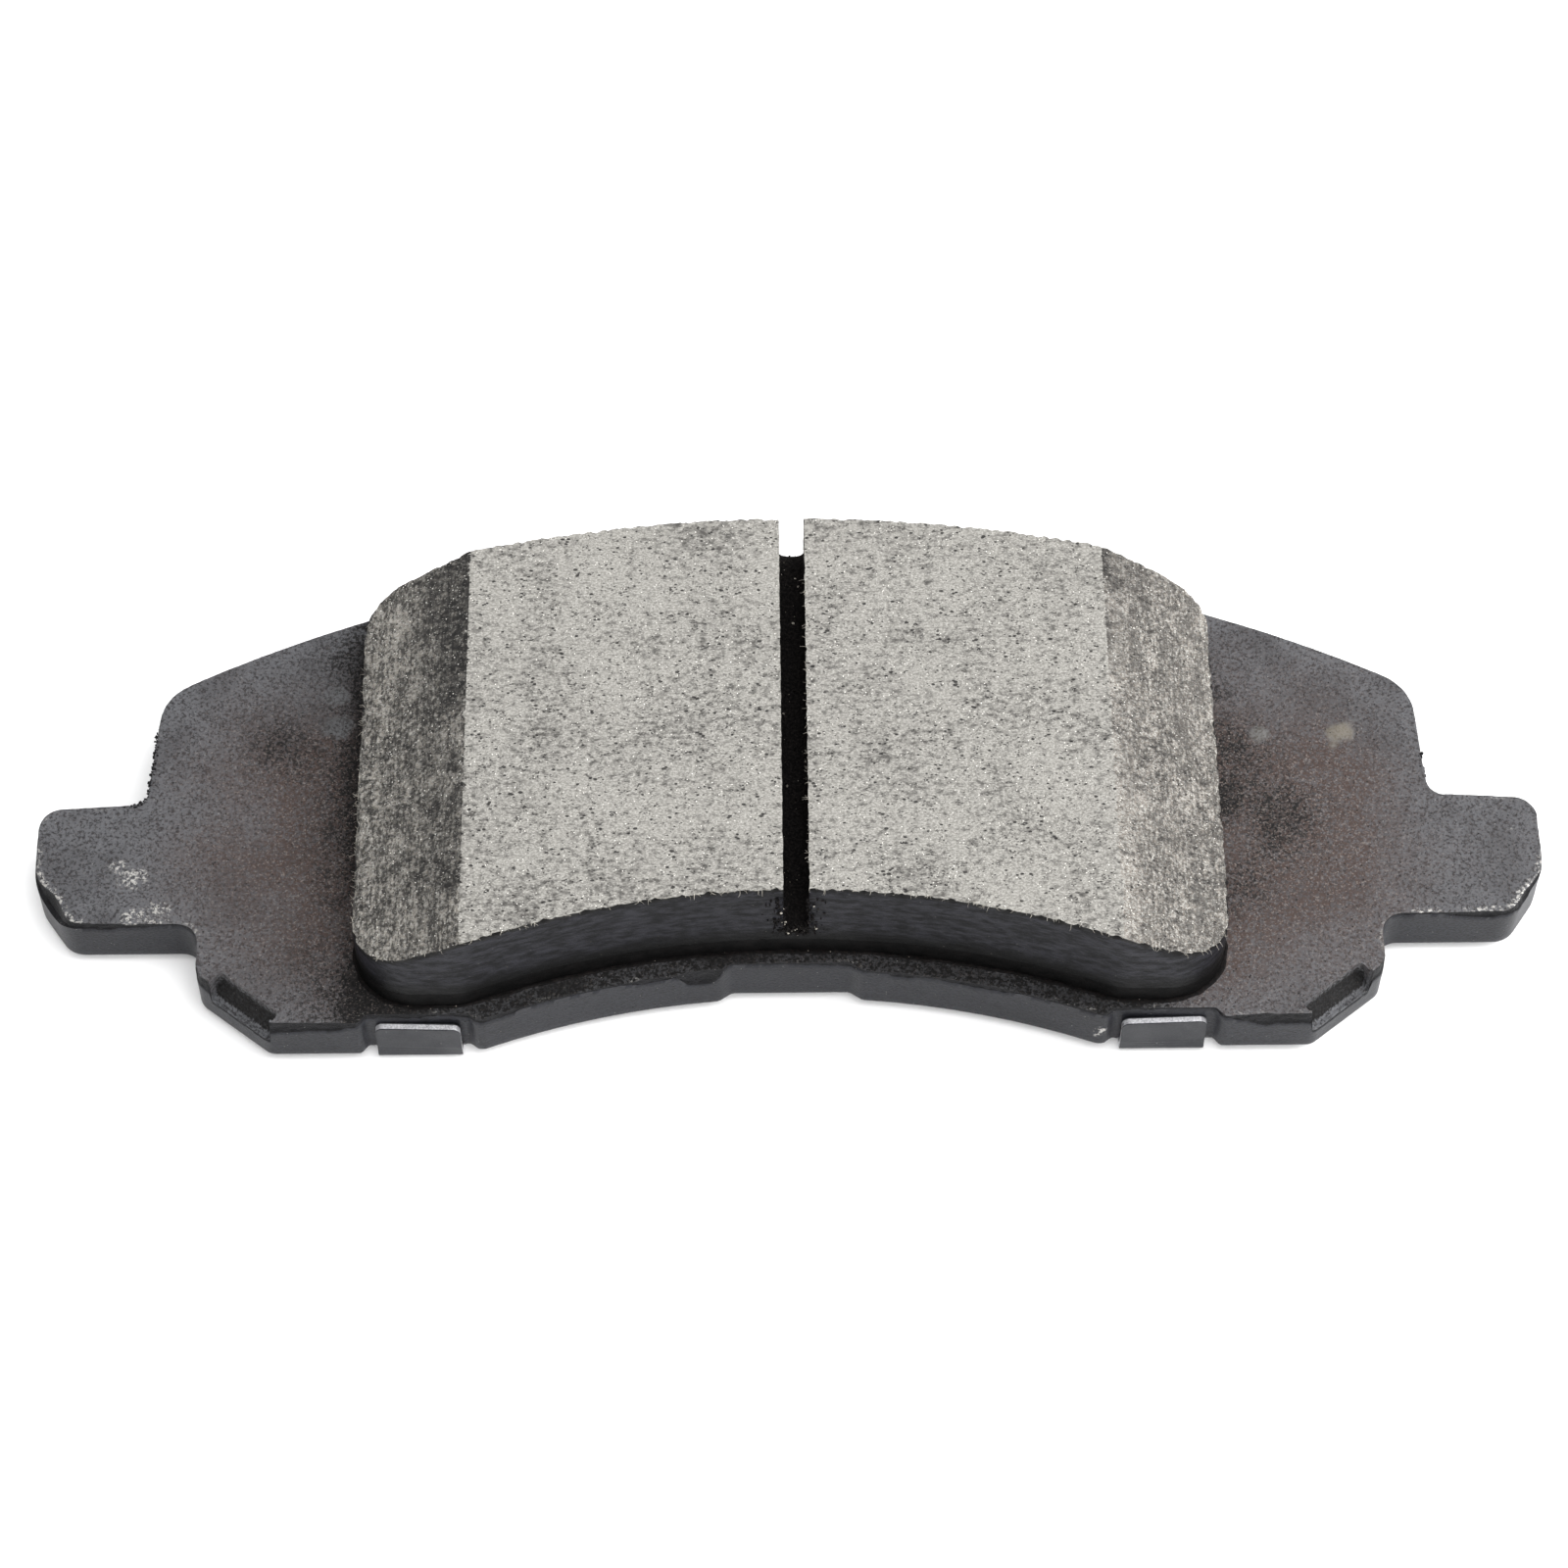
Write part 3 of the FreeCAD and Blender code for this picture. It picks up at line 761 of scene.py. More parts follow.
    # slot
    length = ring[leftOuter, 1] - ring[leftInner, 1]
    rowCount = int(length / (0.3 * mm))
    outerRow = [
        *columns[leftOuter][floorLevel:][::-1],
        *[columns[k][-1] for k in range(total - 1, rightOuter, -1)],
        *columns[rightOuter][floorLevel:],
    ]
    innerRow = [
        *columns[leftInner][floorLevel:][::-1],
        *[columns[k][-1] for k in range(leftInner + 1, rightInner)],
        *columns[rightInner][floorLevel:],
    ]
    wallCount = levels - floorLevel + 1
    start, end = shell.spots(outerRow), shell.spots(innerRow)
    startY, endY = start[:, 1].mean(), end[:, 1].mean()
    rows = [np.array(outerRow)]
    for r in range(1, rowCount):
        share = r / rowCount
        line = start * (1 - share) + end * share
        line[:, 1] = startY * (1 - share) + endY * share
        # the rows straighten out over the first and the last six
        nearStart, nearEnd = max(0, 1 - r / 6), max(0, 1 - (rowCount - r) / 6)
        line[:, 1] += (start[:, 1] - startY) * nearStart + (end[:, 1] - endY) * nearEnd
        bed = floorZ + floorShift(line[0, 1])
        count = len(line)
        for k in range(count):
            onFloor = wallCount - 1 <= k <= count - wallCount
            across = (line[k, 0] - block["slotShift"]) / (block["slotWidth"] / 2)
            if onFloor:
                bump = 0.07 * mm * rough(line[k], 0.5 * mm, 12)
                line[k, 2] = bed + block["slotFillet"] * min(1, abs(across)) ** 3 + bump
            else:
                reach = (k if k < wallCount else count - 1 - k) / (wallCount - 1)
                line[k, 2] = high.z - (high.z - bed - block["slotFillet"]) * reach
                side = 1 if k < wallCount else -1
                grit = 0.05 * mm * rough(line[k], 0.8 * mm, 13) + 0.03 * mm * rough(line[k], 0.35 * mm, 14)
                edge = max(0.0, 1 - (high.z - line[k, 2]) / (0.6 * mm))
                chip = (0.10 if side < 0 else 0.03) * mm
                grit -= chip * edge * max(0, rough(line[k], 0.45 * mm, 15) + 0.3)
                line[k, 0] += side * grit
        rows.append(shell.put(line))
    rows.append(np.array(innerRow))
    for near, far in zip(rows, rows[1:]):
        for k in range(len(near) - 1):
            shell.face((near[k], far[k], far[k + 1], near[k + 1]), 4)

    # rubbed face, in two halves, with the ridges where the end slopes start
    leftRim = [columns[k][-1] for k in range(leftOuter, leftInner + 1)]
    rightRim = [columns[k % total][-1] for k in range(rightInner, rightOuter + 1)]
    edges = [
        np.array(leftRim + [row[0] for row in rows[-2:0:-1]]),
        np.array(rightRim + [row[-1] for row in rows[1:-1]]),
    ]

    def topFinish(ids):
        x, y, z = np.mean([shell.points[i] for i in ids], axis=0)
        ragged = 0.30 * mm * rough((x, y, z), 0.8 * mm, 17)
        return 0 if abs(x) < block["flatHalf"] + ragged else 1 if x < 0 else 2

    faceStep = block["faceStep"]
    for half, edge in enumerate(edges):
        line = shell.spots(edge)[:, :2]
        side = -1 if half == 0 else 1
        ridgeY = np.arange(low.y, high.y, faceStep)
        ridge = np.column_stack([np.full(len(ridgeY), side * block["flatHalf"]), ridgeY])
        ridge = clearOf(ridge, [line], 0.6 * faceStep)
        box = (line[:, 0].min(), line[:, 0].max(), line[:, 1].min(), line[:, 1].max())
        inner = clearOf(scatter(box, faceStep, block["seed"] + half), [line, ridge], 0.55 * faceStep)
        inner = np.vstack([inner, ridge])
        pits = carvePits(*inner.T)
        z = blockTop(inner[:, 0]) - block["pitDepth"] * pits
        flat = np.column_stack([inner, np.zeros(len(inner))])
        z += 0.012 * mm * roughAll(flat, 0.5 * mm, 20.0)
        slope = np.abs(inner[:, 0]) > block["flatHalf"] + 0.1 * mm
        lanes = np.array([noise.noise(Vector((x / (0.45 * mm), y / (9 * mm), 4.0))) for x, y in inner])
        z += np.where(slope, 0.05 * mm * lanes, 0)
        shell.fill([edge], shell.put(np.column_stack([inner, z])), topFinish)

    # crumbs and fibres that the saw and the wheel left
    dice = random.Random(block["seed"])
    inView = (out[:, 1] < -0.3) | (ring[:, 0] < low.x + 0.6 * mm)
    frontEdge = [k for k in range(total) if not mouth[k] and inView[k]]
    for _ in range(block["fibres"]):
        k = dice.choice(frontEdge)
        if dice.random() < 0.25:
            row = dice.choice(rows[4:-1])
            base = Vector(shell.points[row[-1]]) + Vector((0.02 * mm, 0, 0))
            outward = Vector((-1, 0, 0.2))
        else:
            base = Vector(shell.points[columns[k][-1]])
            outward = Vector((*out[k], 0.1))
        lean = Vector([dice.uniform(-0.8, 0.8) for _ in range(3)])
        reach = dice.uniform(0.25, 0.75) * mm
        path, heading = [base - (outward + lean * 0.3) * 0.1 * mm], (outward + lean).normalized()
        for _ in range(4):
            heading = (heading + Vector([dice.uniform(-0.45, 0.45) for _ in range(3)])).normalized()
            path.append(path[-1] + heading * reach / 4)
        shell.fibre(path, dice.uniform(0.018, 0.032) * mm, 5)
    for _ in range(block["crumbs"]):
        if dice.random() < 0.75:
            x = block["slotShift"] + dice.gauss(0, 1.05) * mm
            onEdge = abs(x - block["slotShift"]) > 0.95 * mm
            z = floorZ + (dice.uniform(-0.6, 5.5) if onEdge else dice.uniform(-0.9, 0.5)) * mm
            depth = dice.uniform(-0.06, 0.07) if onEdge else dice.uniform(0.0, 0.5)
            spot = (x, ring[leftInner, 1] + depth * mm, z)
        else:
            row = dice.choice(rows[:-1])
            spot = shell.points[dice.choice(row[wallCount - 1 : -wallCount + 1])]
        shell.crumb(spot, dice.uniform(0.05, 0.17) * mm, 4 if dice.random() < 0.93 else 5, dice)

    places = np.array(shell.points)
    # the carved pits are marked so that the face finish darkens them as painted shade
    pitShade = np.zeros(len(places))
    onTop = places[:, 2] > blockTop(places[:, 0]) - 0.4 * mm
    pitShade[onTop] = carvePits(places[onTop, 0], places[onTop, 1])
    # the end slopes are darkest where they meet the face, the left one most of all
    fromRidge = np.abs(places[:, 0]) - block["flatHalf"]
    upPad = ease(places[:, 1], low.y, high.y)
    cloud = roughAll(places, 5 * mm, 24.0, 2)
    leftShade = np.exp(-((fromRidge / (4.2 * mm)) ** 2)) * (0.50 + 0.6 * upPad + 0.6 * cloud)
    rightShade = np.exp(-fromRidge / (1.6 * mm)) * (1.6 * upPad - 0.95 + 0.8 * cloud)
    endShade = np.clip(np.where(places[:, 0] < 0, leftShade, rightShade), 0, 0.9)
    reach = np.where(places[:, 0] < 0, 1.0, 0.3 + 0.7 * ease(fromRidge, -0.3 * mm, 3.0 * mm))
    fringe = np.clip(1 - (blockTop(places[:, 0]) - places[:, 2]) / (1.1 * mm), 0, 1)
    paints = {"pitShade": pitShade, "endShade": endShade, "reach": reach, "fringe": fringe}
    shell.toPiece("friction_lining", liningFinishes, "friction_block", 35, paints)


makeFrictionBlock()


# colours of the painted plate
coatLook = {
    "top": (83, 84, 87),
    "topDark": (28, 27, 29),
    "haze": (58, 46, 42),
    # soot, and painted shade in the coined pockets
    "sootAndPocketShade": (7, 6, 6),
    "sheared": (34, 35, 40),
    "torn": (19, 19, 22),
    "tornDark": (8, 8, 9),
    "steel": (168, 166, 162),
    "scuff": (146, 136, 130),
    "resin": (112, 104, 90),
}


def coatedFinish(name, look, coat, coatDark, roughness, bump, shine, stained=False):
    # black powder coat: fine orange peel, dark pinholes, sparkle, bare steel where it has worn off, and
    # bare steel as a painted highlight along the pockets' upper edges
    bench = Bench(name, roughness=roughness, shine=shine)
    peel = bench.grain(0.27 * mm, seed=41, detail=3, rough=0.7)
    soft = bench.grain(6.0 * mm, seed=42)
    colour = bench.cover(tint(*look[coat]), bench.pull(peel, 0.44, 0.64, 0.0, 0.9), look[coatDark])
    colour = bench.cover(colour, bench.pull(soft, 0.45, 0.70, 0.0, 0.35), look[coatDark])
    # bare steel where the coat wore off, and a painted highlight along the pockets' upper edges
    wearAndPocketHighlight = bench.painted("wearAndPocketHighlight")
    broken = bench.pull(bench.grain(0.42 * mm, seed=49, detail=4, rough=0.75), 0.49, 0.58)
    bare = bench.pull(bench.times(wearAndPocketHighlight, bench.work("ADD", broken, 0.16)), 0.12, 0.80)
    dull = bench.pull(bare, 0.0, 1.0, roughness, 0.36)
    if stained:
        # brown haze from the press, soot over it and pale grit on both; the soot share also carries painted
        # shade in the coined pockets
        haze = bench.painted("haze")
        cloud = bench.pull(bench.grain(0.30 * mm, seed=44, detail=3, rough=0.7), 0.36, 0.60, 0.35, 1.0)
        colour = bench.cover(colour, bench.times(haze, cloud), look["haze"])
        sootAndPocketShade = bench.painted("sootAndPocketShade")
        sootSpots = bench.pull(bench.grain(0.28 * mm, seed=45, rough=0.6), 0.47, 0.57)
        sootAndShadeShare = bench.pull(bench.weigh((sootAndPocketShade, 1.5), (sootSpots, 0.7)), 0.55, 1.75)
        colour = bench.cover(colour, sootAndShadeShare, look["sootAndPocketShade"])
        grit = bench.pull(bench.grain(0.19 * mm, seed=50, rough=0.6), 0.56, 0.68)
        gritShare = bench.work("ADD", bench.times(haze, 0.27), 0.05)
        colour = bench.cover(colour, bench.times(grit, gritShare), look["scuff"])
        colour = bench.cover(colour, bench.painted("drip"), look["resin"], 0.55)
        dull = bench.weigh((dull, 1), (sootAndPocketShade, 0.3))
    pinholes = bench.pull(bench.grains(0.7 * mm, seed=46), 0.15, 0.07)
    colour = bench.cover(colour, pinholes, look["sootAndPocketShade"], 0.8)
    sparkle = bench.pull(bench.grains(0.62 * mm, seed=47), 0.09, 0.035)
    sparkle = bench.times(sparkle, bench.pull(bench.grain(1.1 * mm, seed=48), 0.47, 0.60))
    colour = bench.cover(colour, sparkle, look["steel"], 0.6)
    height = bench.work("SUBTRACT", peel, bench.times(pinholes, 0.8))
    return bench.done(
        colour=bench.cover(colour, bare, look["steel"]),
        normal=bench.relief(height, bump, 0.9),
        metallic=bench.times(bare, 0.7),
        roughness=dull,
    )


plateFinishes = [
    coatedFinish("coatedTop", coatLook, "top", "topDark", 0.48, 0.09 * mm, 0.22, stained=True),
    coatedFinish("coatedShearedEdge", coatLook, "sheared", "torn", 0.42, 0.04 * mm, 0.16),
    coatedFinish("coatedTornEdge", coatLook, "torn", "tornDark", 0.55, 0.16 * mm, 0.16),
]
print("plate finishes mixed")


plate = {
    "rimStep": 0.30 * mm,
    "topStep": 0.31 * mm,
    "pocketStep": 0.13 * mm,
    "hiddenStep": 2.5 * mm,
    "dieRoll": 0.6 * mm,
    "tearBand": 1.9 * mm,        # the most that the torn band is high
    "tearInset": 0.33 * mm,
    "lip": 0.10 * mm,
    "footHalf": 53.6 * mm,       # the sloping lower corner, from here
    "footRise": 5.2 * mm,
    "footBottomHalf": 47.0 * mm,  # to here on the lower edge
    "pocketLength": 7.0 * mm,
    "pocketWidth": 1.65 * mm,
    "pocketShift": 0.9 * mm,
    "pocketStepDown": 1.0 * mm,
    "pocketOuterRise": 2.4 * mm,
    "pocketRound": 0.5 * mm,
    "pocketRidge": 0.45 * mm,    # left standing along the outer edge
    "holeRadius": 6.0 * mm,
    "holeSpacing": 42.0 * mm,
    "holeHeight": 27.0 * mm,
    "earCornerReach": 66.9 * mm,  # middle of the worn lower corner of each ear
    "earCornerHeight": 13.2 * mm,
    "earDrag": 0.60 * mm,        # how much further the tear ran in there
    "paintCrumbs": 230,          # on the necks, most of them on the left
    # a bare spot on the lower edge: x, z, half its width and half its height
    "nick": (27.8 * mm, 3.3 * mm, 0.8 * mm, 1.3 * mm),
    # resin drips: middle x and y, radius and height in mm, and how pale
    "blobs": [
        (-41.8, 6.4, 1.6, 0.10, 0.1),
        (-41.9, 9.8, 1.3, 0.07, 0.1),
        (51.3, 4.9, 1.3, 0.16, 1.0),
        (43.8, 4.9, 1.0, 0.08, 0.35),
    ],
    # soot and scuffs: middle x and y and radius in mm, and how strong
    "sootSpots": [
        (-46.5, 4.0, 4.4, 0.55),
        (-41.5, 13.5, 3.0, 0.6),
        (-41.0, -9.5, 3.4, 0.7),
        (41.5, 4.0, 5.0, 0.8),
        (43.0, -4.5, 5.5, 0.85),
        (41.0, -11.5, 3.6, 0.6),
    ],
    "scuffs": [
        (66.2, -5.6, 0.9, 0.5),
        (-59.8, -9.6, 2.3, 1.0),
        (-59.4, -13.9, 2.1, 1.0),
        (-57.2, -13.0, 1.9, 0.9),
        (-61.2, -8.4, 1.4, 0.8),
    ],
}


def insideOf(points, loop):
    x, y = points.T
    inside = np.zeros(len(points), bool)
    for (ax, ay), (bx, by) in zip(loop, np.roll(loop, -1, axis=0)):
        if ay != by:
            inside ^= ((ay > y) != (by > y)) & (x < (bx - ax) * (y - ay) / (by - ay) + ax)
    return inside


def pocketFrame():
    # where the coined pocket starts on the right lower corner, and its own two directions
    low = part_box("backing_plate")[0]
    outer = np.array([plate["footHalf"], low.y + plate["footRise"]])
    inner = np.array([plate["footBottomHalf"], low.y])
    along = (outer - inner) / np.hypot(*(outer - inner))
    inward = np.array([-along[1], along[0]])
    start = (outer + inner) / 2 - along * (plate["pocketLength"] / 2 + plate["pocketShift"])
    return start, along, inward


def pocketDepth(x, y):
    # how far the coined pocket lowers the plate's top at a place, for both lower corners
    low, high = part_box("backing_plate")
    start, along, inward = pocketFrame()
    reach = np.column_stack([np.abs(x), y]) - start
    t, s = reach @ along, reach @ inward
    length, width, corner = plate["pocketLength"], plate["pocketWidth"], plate["pocketRound"]
    qx = np.abs(t - length / 2) - (length / 2 - corner)
    qy = s - (width - corner)
    gap = np.hypot(np.maximum(qx, 0), np.maximum(qy, 0)) + np.minimum(np.maximum(qx, qy), 0) - corner
    floorRise = high.z - low.z - plate["pocketStepDown"] - plate["pocketOuterRise"]
    fall = plate["pocketStepDown"] + floorRise * np.clip(1 - s / width, 0, 1)
    fall -= plate["pocketRidge"] * ease(-s, -0.55 * mm, -0.15 * mm)
    return fall * ease(-gap, -0.01 * mm, 0.07 * mm)


def pocketEdge(side, gap):
    # points along the pocket's inner edge, that far outside it
    start, along, inward = pocketFrame()
    length, width, corner = plate["pocketLength"], plate["pocketWidth"], plate["pocketRound"]
    bend = corner + gap
    near = [(-gap, s) for s in np.arange(0.35 * mm, width - corner, 0.12 * mm)]
    for turn in np.linspace(0, math.pi / 2, 6):
        near.append((corner - bend * math.cos(turn), width - corner + bend * math.sin(turn)))
    across = [(t, width + gap) for t in np.arange(corner + 0.12 * mm, length - corner, 0.12 * mm)]
    far = [(length - t, s) for t, s in near]
    spots = np.array([start + t * along + s * inward for t, s in near + across + far])
    return spots * (side, 1)


def earCorner(x, y):
    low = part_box("backing_plate")[0]
    away = np.hypot(np.abs(x) - plate["earCornerReach"], (y - low.y - plate["earCornerHeight"]) * 0.9)
    return np.exp(-((away / (2.6 * mm)) ** 2))


def tearShare(places):
    # how much of the torn band there is at a place along the rim
    low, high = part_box("backing_plate")
    x, y = places[:, 0], places[:, 1]
    share = np.full(len(places), 0.10)
    for strength, size, seed in ((0.45, 5.0 * mm, 31.0), (0.22, 1.6 * mm, 32.0), (0.15, 0.6 * mm, 33.0)):
        share += strength * roughAll(places, size, seed)
    share += 0.60 * ease(np.abs(x), 38 * mm, 43 * mm) * (y < low.y + 6 * mm)
    share += 0.25 * ease(np.abs(x), 57 * mm, 60 * mm) * (y < low.y + 13 * mm)
    share += 0.95 * np.exp(-(((x + 7.9 * mm) / (1.7 * mm)) ** 4)) * (y < 0)
    return np.clip(share, 0.0, 1.0) * (1 - 0.85 * ease(y, 4 * mm, 12 * mm))


def rimGapOf(places, rim):
    # how far each place is from the rim
    tree = kdtree.KDTree(len(rim))
    for k, (x, y) in enumerate(rim):
        tree.insert((x, y, 0), k)
    tree.balance()
    return np.array([tree.find((x, y, 0))[2] for x, y, _ in places])


def plugCentres():
    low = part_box("backing_plate")[0]
    return [(side * plate["holeSpacing"] / 2, low.y + plate["holeHeight"]) for side in (-1, 1)]


def makeBackingPlate():
    low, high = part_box("backing_plate")
    thickness = high.z - low.z
    loop = outlineOf("backing_plate", low.z + plate["dieRoll"])

    def closer(places):
        near = pocketDepth(*places.T) > 0
        near |= pocketDepth(places[:, 0], places[:, 1] + 0.5 * mm) > 0
        return np.where(near, 2.4, 1.0)

    ring = closedPoints(loop, plate["rimStep"], closer)
    out = outwardOf(ring)
    flat = np.column_stack([ring, np.zeros(len(ring))])
    top = high.z - pocketDepth(*(ring - out * 0.03 * mm).T)
    worn = earCorner(*ring.T) * np.where(ring[:, 0] < 0, 1.0, 0.3)
    tear = tearShare(flat) * plate["tearBand"] * np.clip((top - low.z - 2.6 * mm) / (2.5 * mm), 0, 1)
    tear = np.maximum(tear, worn * 1.9 * mm)
    split = top - plate["lip"] - np.maximum(tear, 0.12 * mm)
    drag = plate["tearInset"] * np.clip(tear / plate["tearBand"], 0.12, 1) + plate["earDrag"] * worn
    shell = Shell()
    rows, finishes = [], []

    def row(z, inset, finish, grit=0.0, gritSize=0.5 * mm):
        places = np.column_stack([ring, z])
        push = -inset + (grit * roughAll(places, gritSize, 40.0, 2) if np.any(grit) else 0)
        spots = ring + out * (push if np.ndim(push) else np.full(len(ring), push))[:, None]
        rows.append(shell.put(np.column_stack([spots, z])))
        finishes.append(finish)

    roll = plate["dieRoll"]
    for k in range(6):
        angle = math.radians(90 * k / 5)
        row(np.full(len(ring), low.z + roll * (1 - math.cos(angle))), roll * (1 - math.sin(angle)), 1)
    for k in range(1, 8):
        z = low.z + roll + (split - low.z - roll) * k / 7
        row(z, 0.0, 1, 0.018 * mm, 1.4 * mm)
    for k in range(1, 8):
        share = k / 7
        z = split + (top - plate["lip"] - split) * share
        row(z, drag * (0.45 + 0.55 * share), 2, np.minimum(0.10 * mm, tear * 0.12), 0.55 * mm)
    burr = 0.07 * mm * np.clip(roughAll(flat, 1.5 * mm, 50.0, 2) + 0.25, 0, 1)
    row(top - 0.03 * mm + burr * 0.5, drag - 0.02 * mm, 2, 0.03 * mm)
    row(top + burr, drag + 0.07 * mm, 0, 0.03 * mm)
    row(top + burr * 0.3, drag + 0.22 * mm, 0, 0.02 * mm)
    for near, far, finish in zip(rows, rows[1:], finishes[1:]):
        shell.wall([near, far], finish)

    # moulding holes
    holes = []
    for centre in plugCentres():
        circle = circleRing(centre, plate["holeRadius"], 96)
        steps = np.linspace(low.z, high.z, 4)
        levels = [shell.put(np.column_stack([circle, np.full(len(circle), z)])) for z in steps]
        shell.wall([level[::-1] for level in levels], 1)
        holes.append(levels)

    # top and underside
    rim = shell.spots(rows[-1])[:, :2]
    box = (low.x, high.x, low.y, high.y)
    lines = [rim] + [shell.spots(levels[-1])[:, :2] for levels in holes]
    covered = outlineOf("bond_film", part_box("bond_film")[0].z) * 0.985
    fine = scatter(box, plate["topStep"], 5)
    fine = fine[insideOf(fine, rim) & ~insideOf(fine, covered) & (pocketDepth(*fine.T) <= 0)]
    hidden = scatter(box, plate["hiddenStep"], 6)
    hidden = hidden[insideOf(hidden, covered * 0.96)]
    for centre in plugCentres():
        hidden = hidden[np.hypot(*(hidden - centre).T) > plate["holeRadius"] + 0.8 * mm]
    pockets = []
    for side in (-1, 1):
        corner = (side * 53.8 * mm, side * 45.5 * mm)
        grid = scatter((min(corner), max(corner), low.y, low.y + 7 * mm), plate["pocketStep"], 7)
        near = pocketDepth(*grid.T) > 0
        for shift in ((0.25, 0.0), (-0.25, 0.0), (0.0, -0.25), (0.0, 0.25)):
            near |= pocketDepth(grid[:, 0] + shift[0] * mm, grid[:, 1] + shift[1] * mm) > 0
        edges = [pocketEdge(side, gap) for gap in (0.03 * mm, -0.08 * mm)]
        pockets += [edge[insideOf(edge, rim)] for edge in edges]
        pockets.append(clearOf(grid[near & insideOf(grid, rim)], edges, 0.08 * mm))
    dense = clearOf(np.vstack(pockets), [rim], 0.07 * mm)
    fine = clearOf(fine, [rim, dense], 0.13 * mm)
    inner = np.vstack([fine, dense, hidden])
    level = np.column_stack([inner, np.zeros(len(inner))])
    depth = pocketDepth(*inner.T)
    z = high.z - depth + 0.012 * mm * roughAll(level, 1.1 * mm, 60.0)
    z += 0.010 * mm * roughAll(level, 0.6 * mm, 61.0)
    z += np.where(depth > 0.3 * mm, 0.06 * mm * roughAll(level, 0.5 * mm, 62.0, 2), 0)
    for x, y, radius, height, _ in plate["blobs"]:
        away = np.hypot(inner[:, 0] - x * mm, inner[:, 1] - y * mm) / (radius * mm)
        away *= 1 + 0.35 * roughAll(level, 1.6 * mm, 63.0)
        z += height * mm * ease(1 - away, 0, 0.8)
    shell.fill([rows[-1]] + [levels[-1] for levels in holes], shell.put(np.column_stack([inner, z])), 0)
    under = scatter(box, 2.2 * mm, 8)
    base = shell.spots(rows[0])[:, :2]
    under = clearOf(under[insideOf(under, base)], [base], 0.8 * mm)
    for centre in plugCentres():
        under = under[np.hypot(*(under - centre).T) > plate["holeRadius"] + 0.8 * mm]
    spots = shell.put(np.column_stack([under, np.full(len(under), low.z)]))
    shell.fill([rows[0]] + [levels[0] for levels in holes], spots, 1, upward=False)

    # paint crumbs on the necks, most of them on the left
    dice = random.Random(23)
    reachX, reachY = np.abs(ring[:, 0]), ring[:, 1]
    onNeck = (reachX > 56.5 * mm) & (reachX < 61 * mm) & (reachY > -4 * mm) & (reachY < 6 * mm)
    necks = [k for k in range(len(ring)) if onNeck[k]]
    leftNeck = [k for k in necks if ring[k, 0] < 0]
    clumps = dice.sample(leftNeck, 9)
    for _ in range(plate["paintCrumbs"]):
        if dice.random() < 0.55:
            k = (dice.choice(clumps) + dice.randint(-3, 3)) % len(ring)
        else:
            k = dice.choice(leftNeck)
        if dice.random() < 0.15:
            k = dice.choice(necks)
        x, y = ring[k] + out[k] * dice.uniform(-0.30, 0.12) * mm
        z = high.z - abs(dice.gauss(0, 0.35)) * mm
        shell.crumb((x, y, z), dice.uniform(0.07, 0.21) * mm, 2, dice)

    places = np.array(shell.points)
    x, y, z = places.T
    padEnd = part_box("bond_film")[1].x
    beside = np.abs(x) - padEnd
    cloud = roughAll(places, 9 * mm, 70.0, 2)
    middle = np.where(x < 0, -6.5 * mm, -6.0 * mm)
    spread = np.where(x < 0, 14 * mm, 15 * mm)
    hazeOut = np.where(x < 0, 16 * mm, 24 * mm)
    haze = np.exp(-((y - middle) / spread) ** 2) * np.exp(-np.maximum(beside, 0) / hazeOut)
    haze = haze * (1.9 + 0.8 * cloud)
    sootOut = np.where(x < 0, 3.6 * mm, 4.5 * mm)
    sootAndPocketShade = np.exp(-np.maximum(beside, 0) / sootOut)
    sootAndPocketShade = sootAndPocketShade * np.clip(0.85 + 0.9 * cloud + 0.5 * roughAll(places, 3 * mm, 71.0), 0, 1.1)
    sootAndPocketShade *= np.where(x < 0, 0.9, np.exp(-(((y + 1 * mm) / (13 * mm)) ** 4)))
    for cx, cy, radius, strength in plate["sootSpots"]:
        reach = np.hypot(x - cx * mm, y - cy * mm) / (radius * mm)
        sootAndPocketShade = np.maximum(sootAndPocketShade, strength * np.exp(-(reach**2)) * np.clip(0.8 + 0.8 * cloud, 0.3, 1.2))
    front = 0.84 * ease(-np.abs(x), -padEnd + 2 * mm, -padEnd + 8 * mm) * (y < 0)
    sootAndPocketShade = np.maximum(sootAndPocketShade, front) * (z > high.z - 0.5 * mm)
    dip = pocketDepth(x, y)
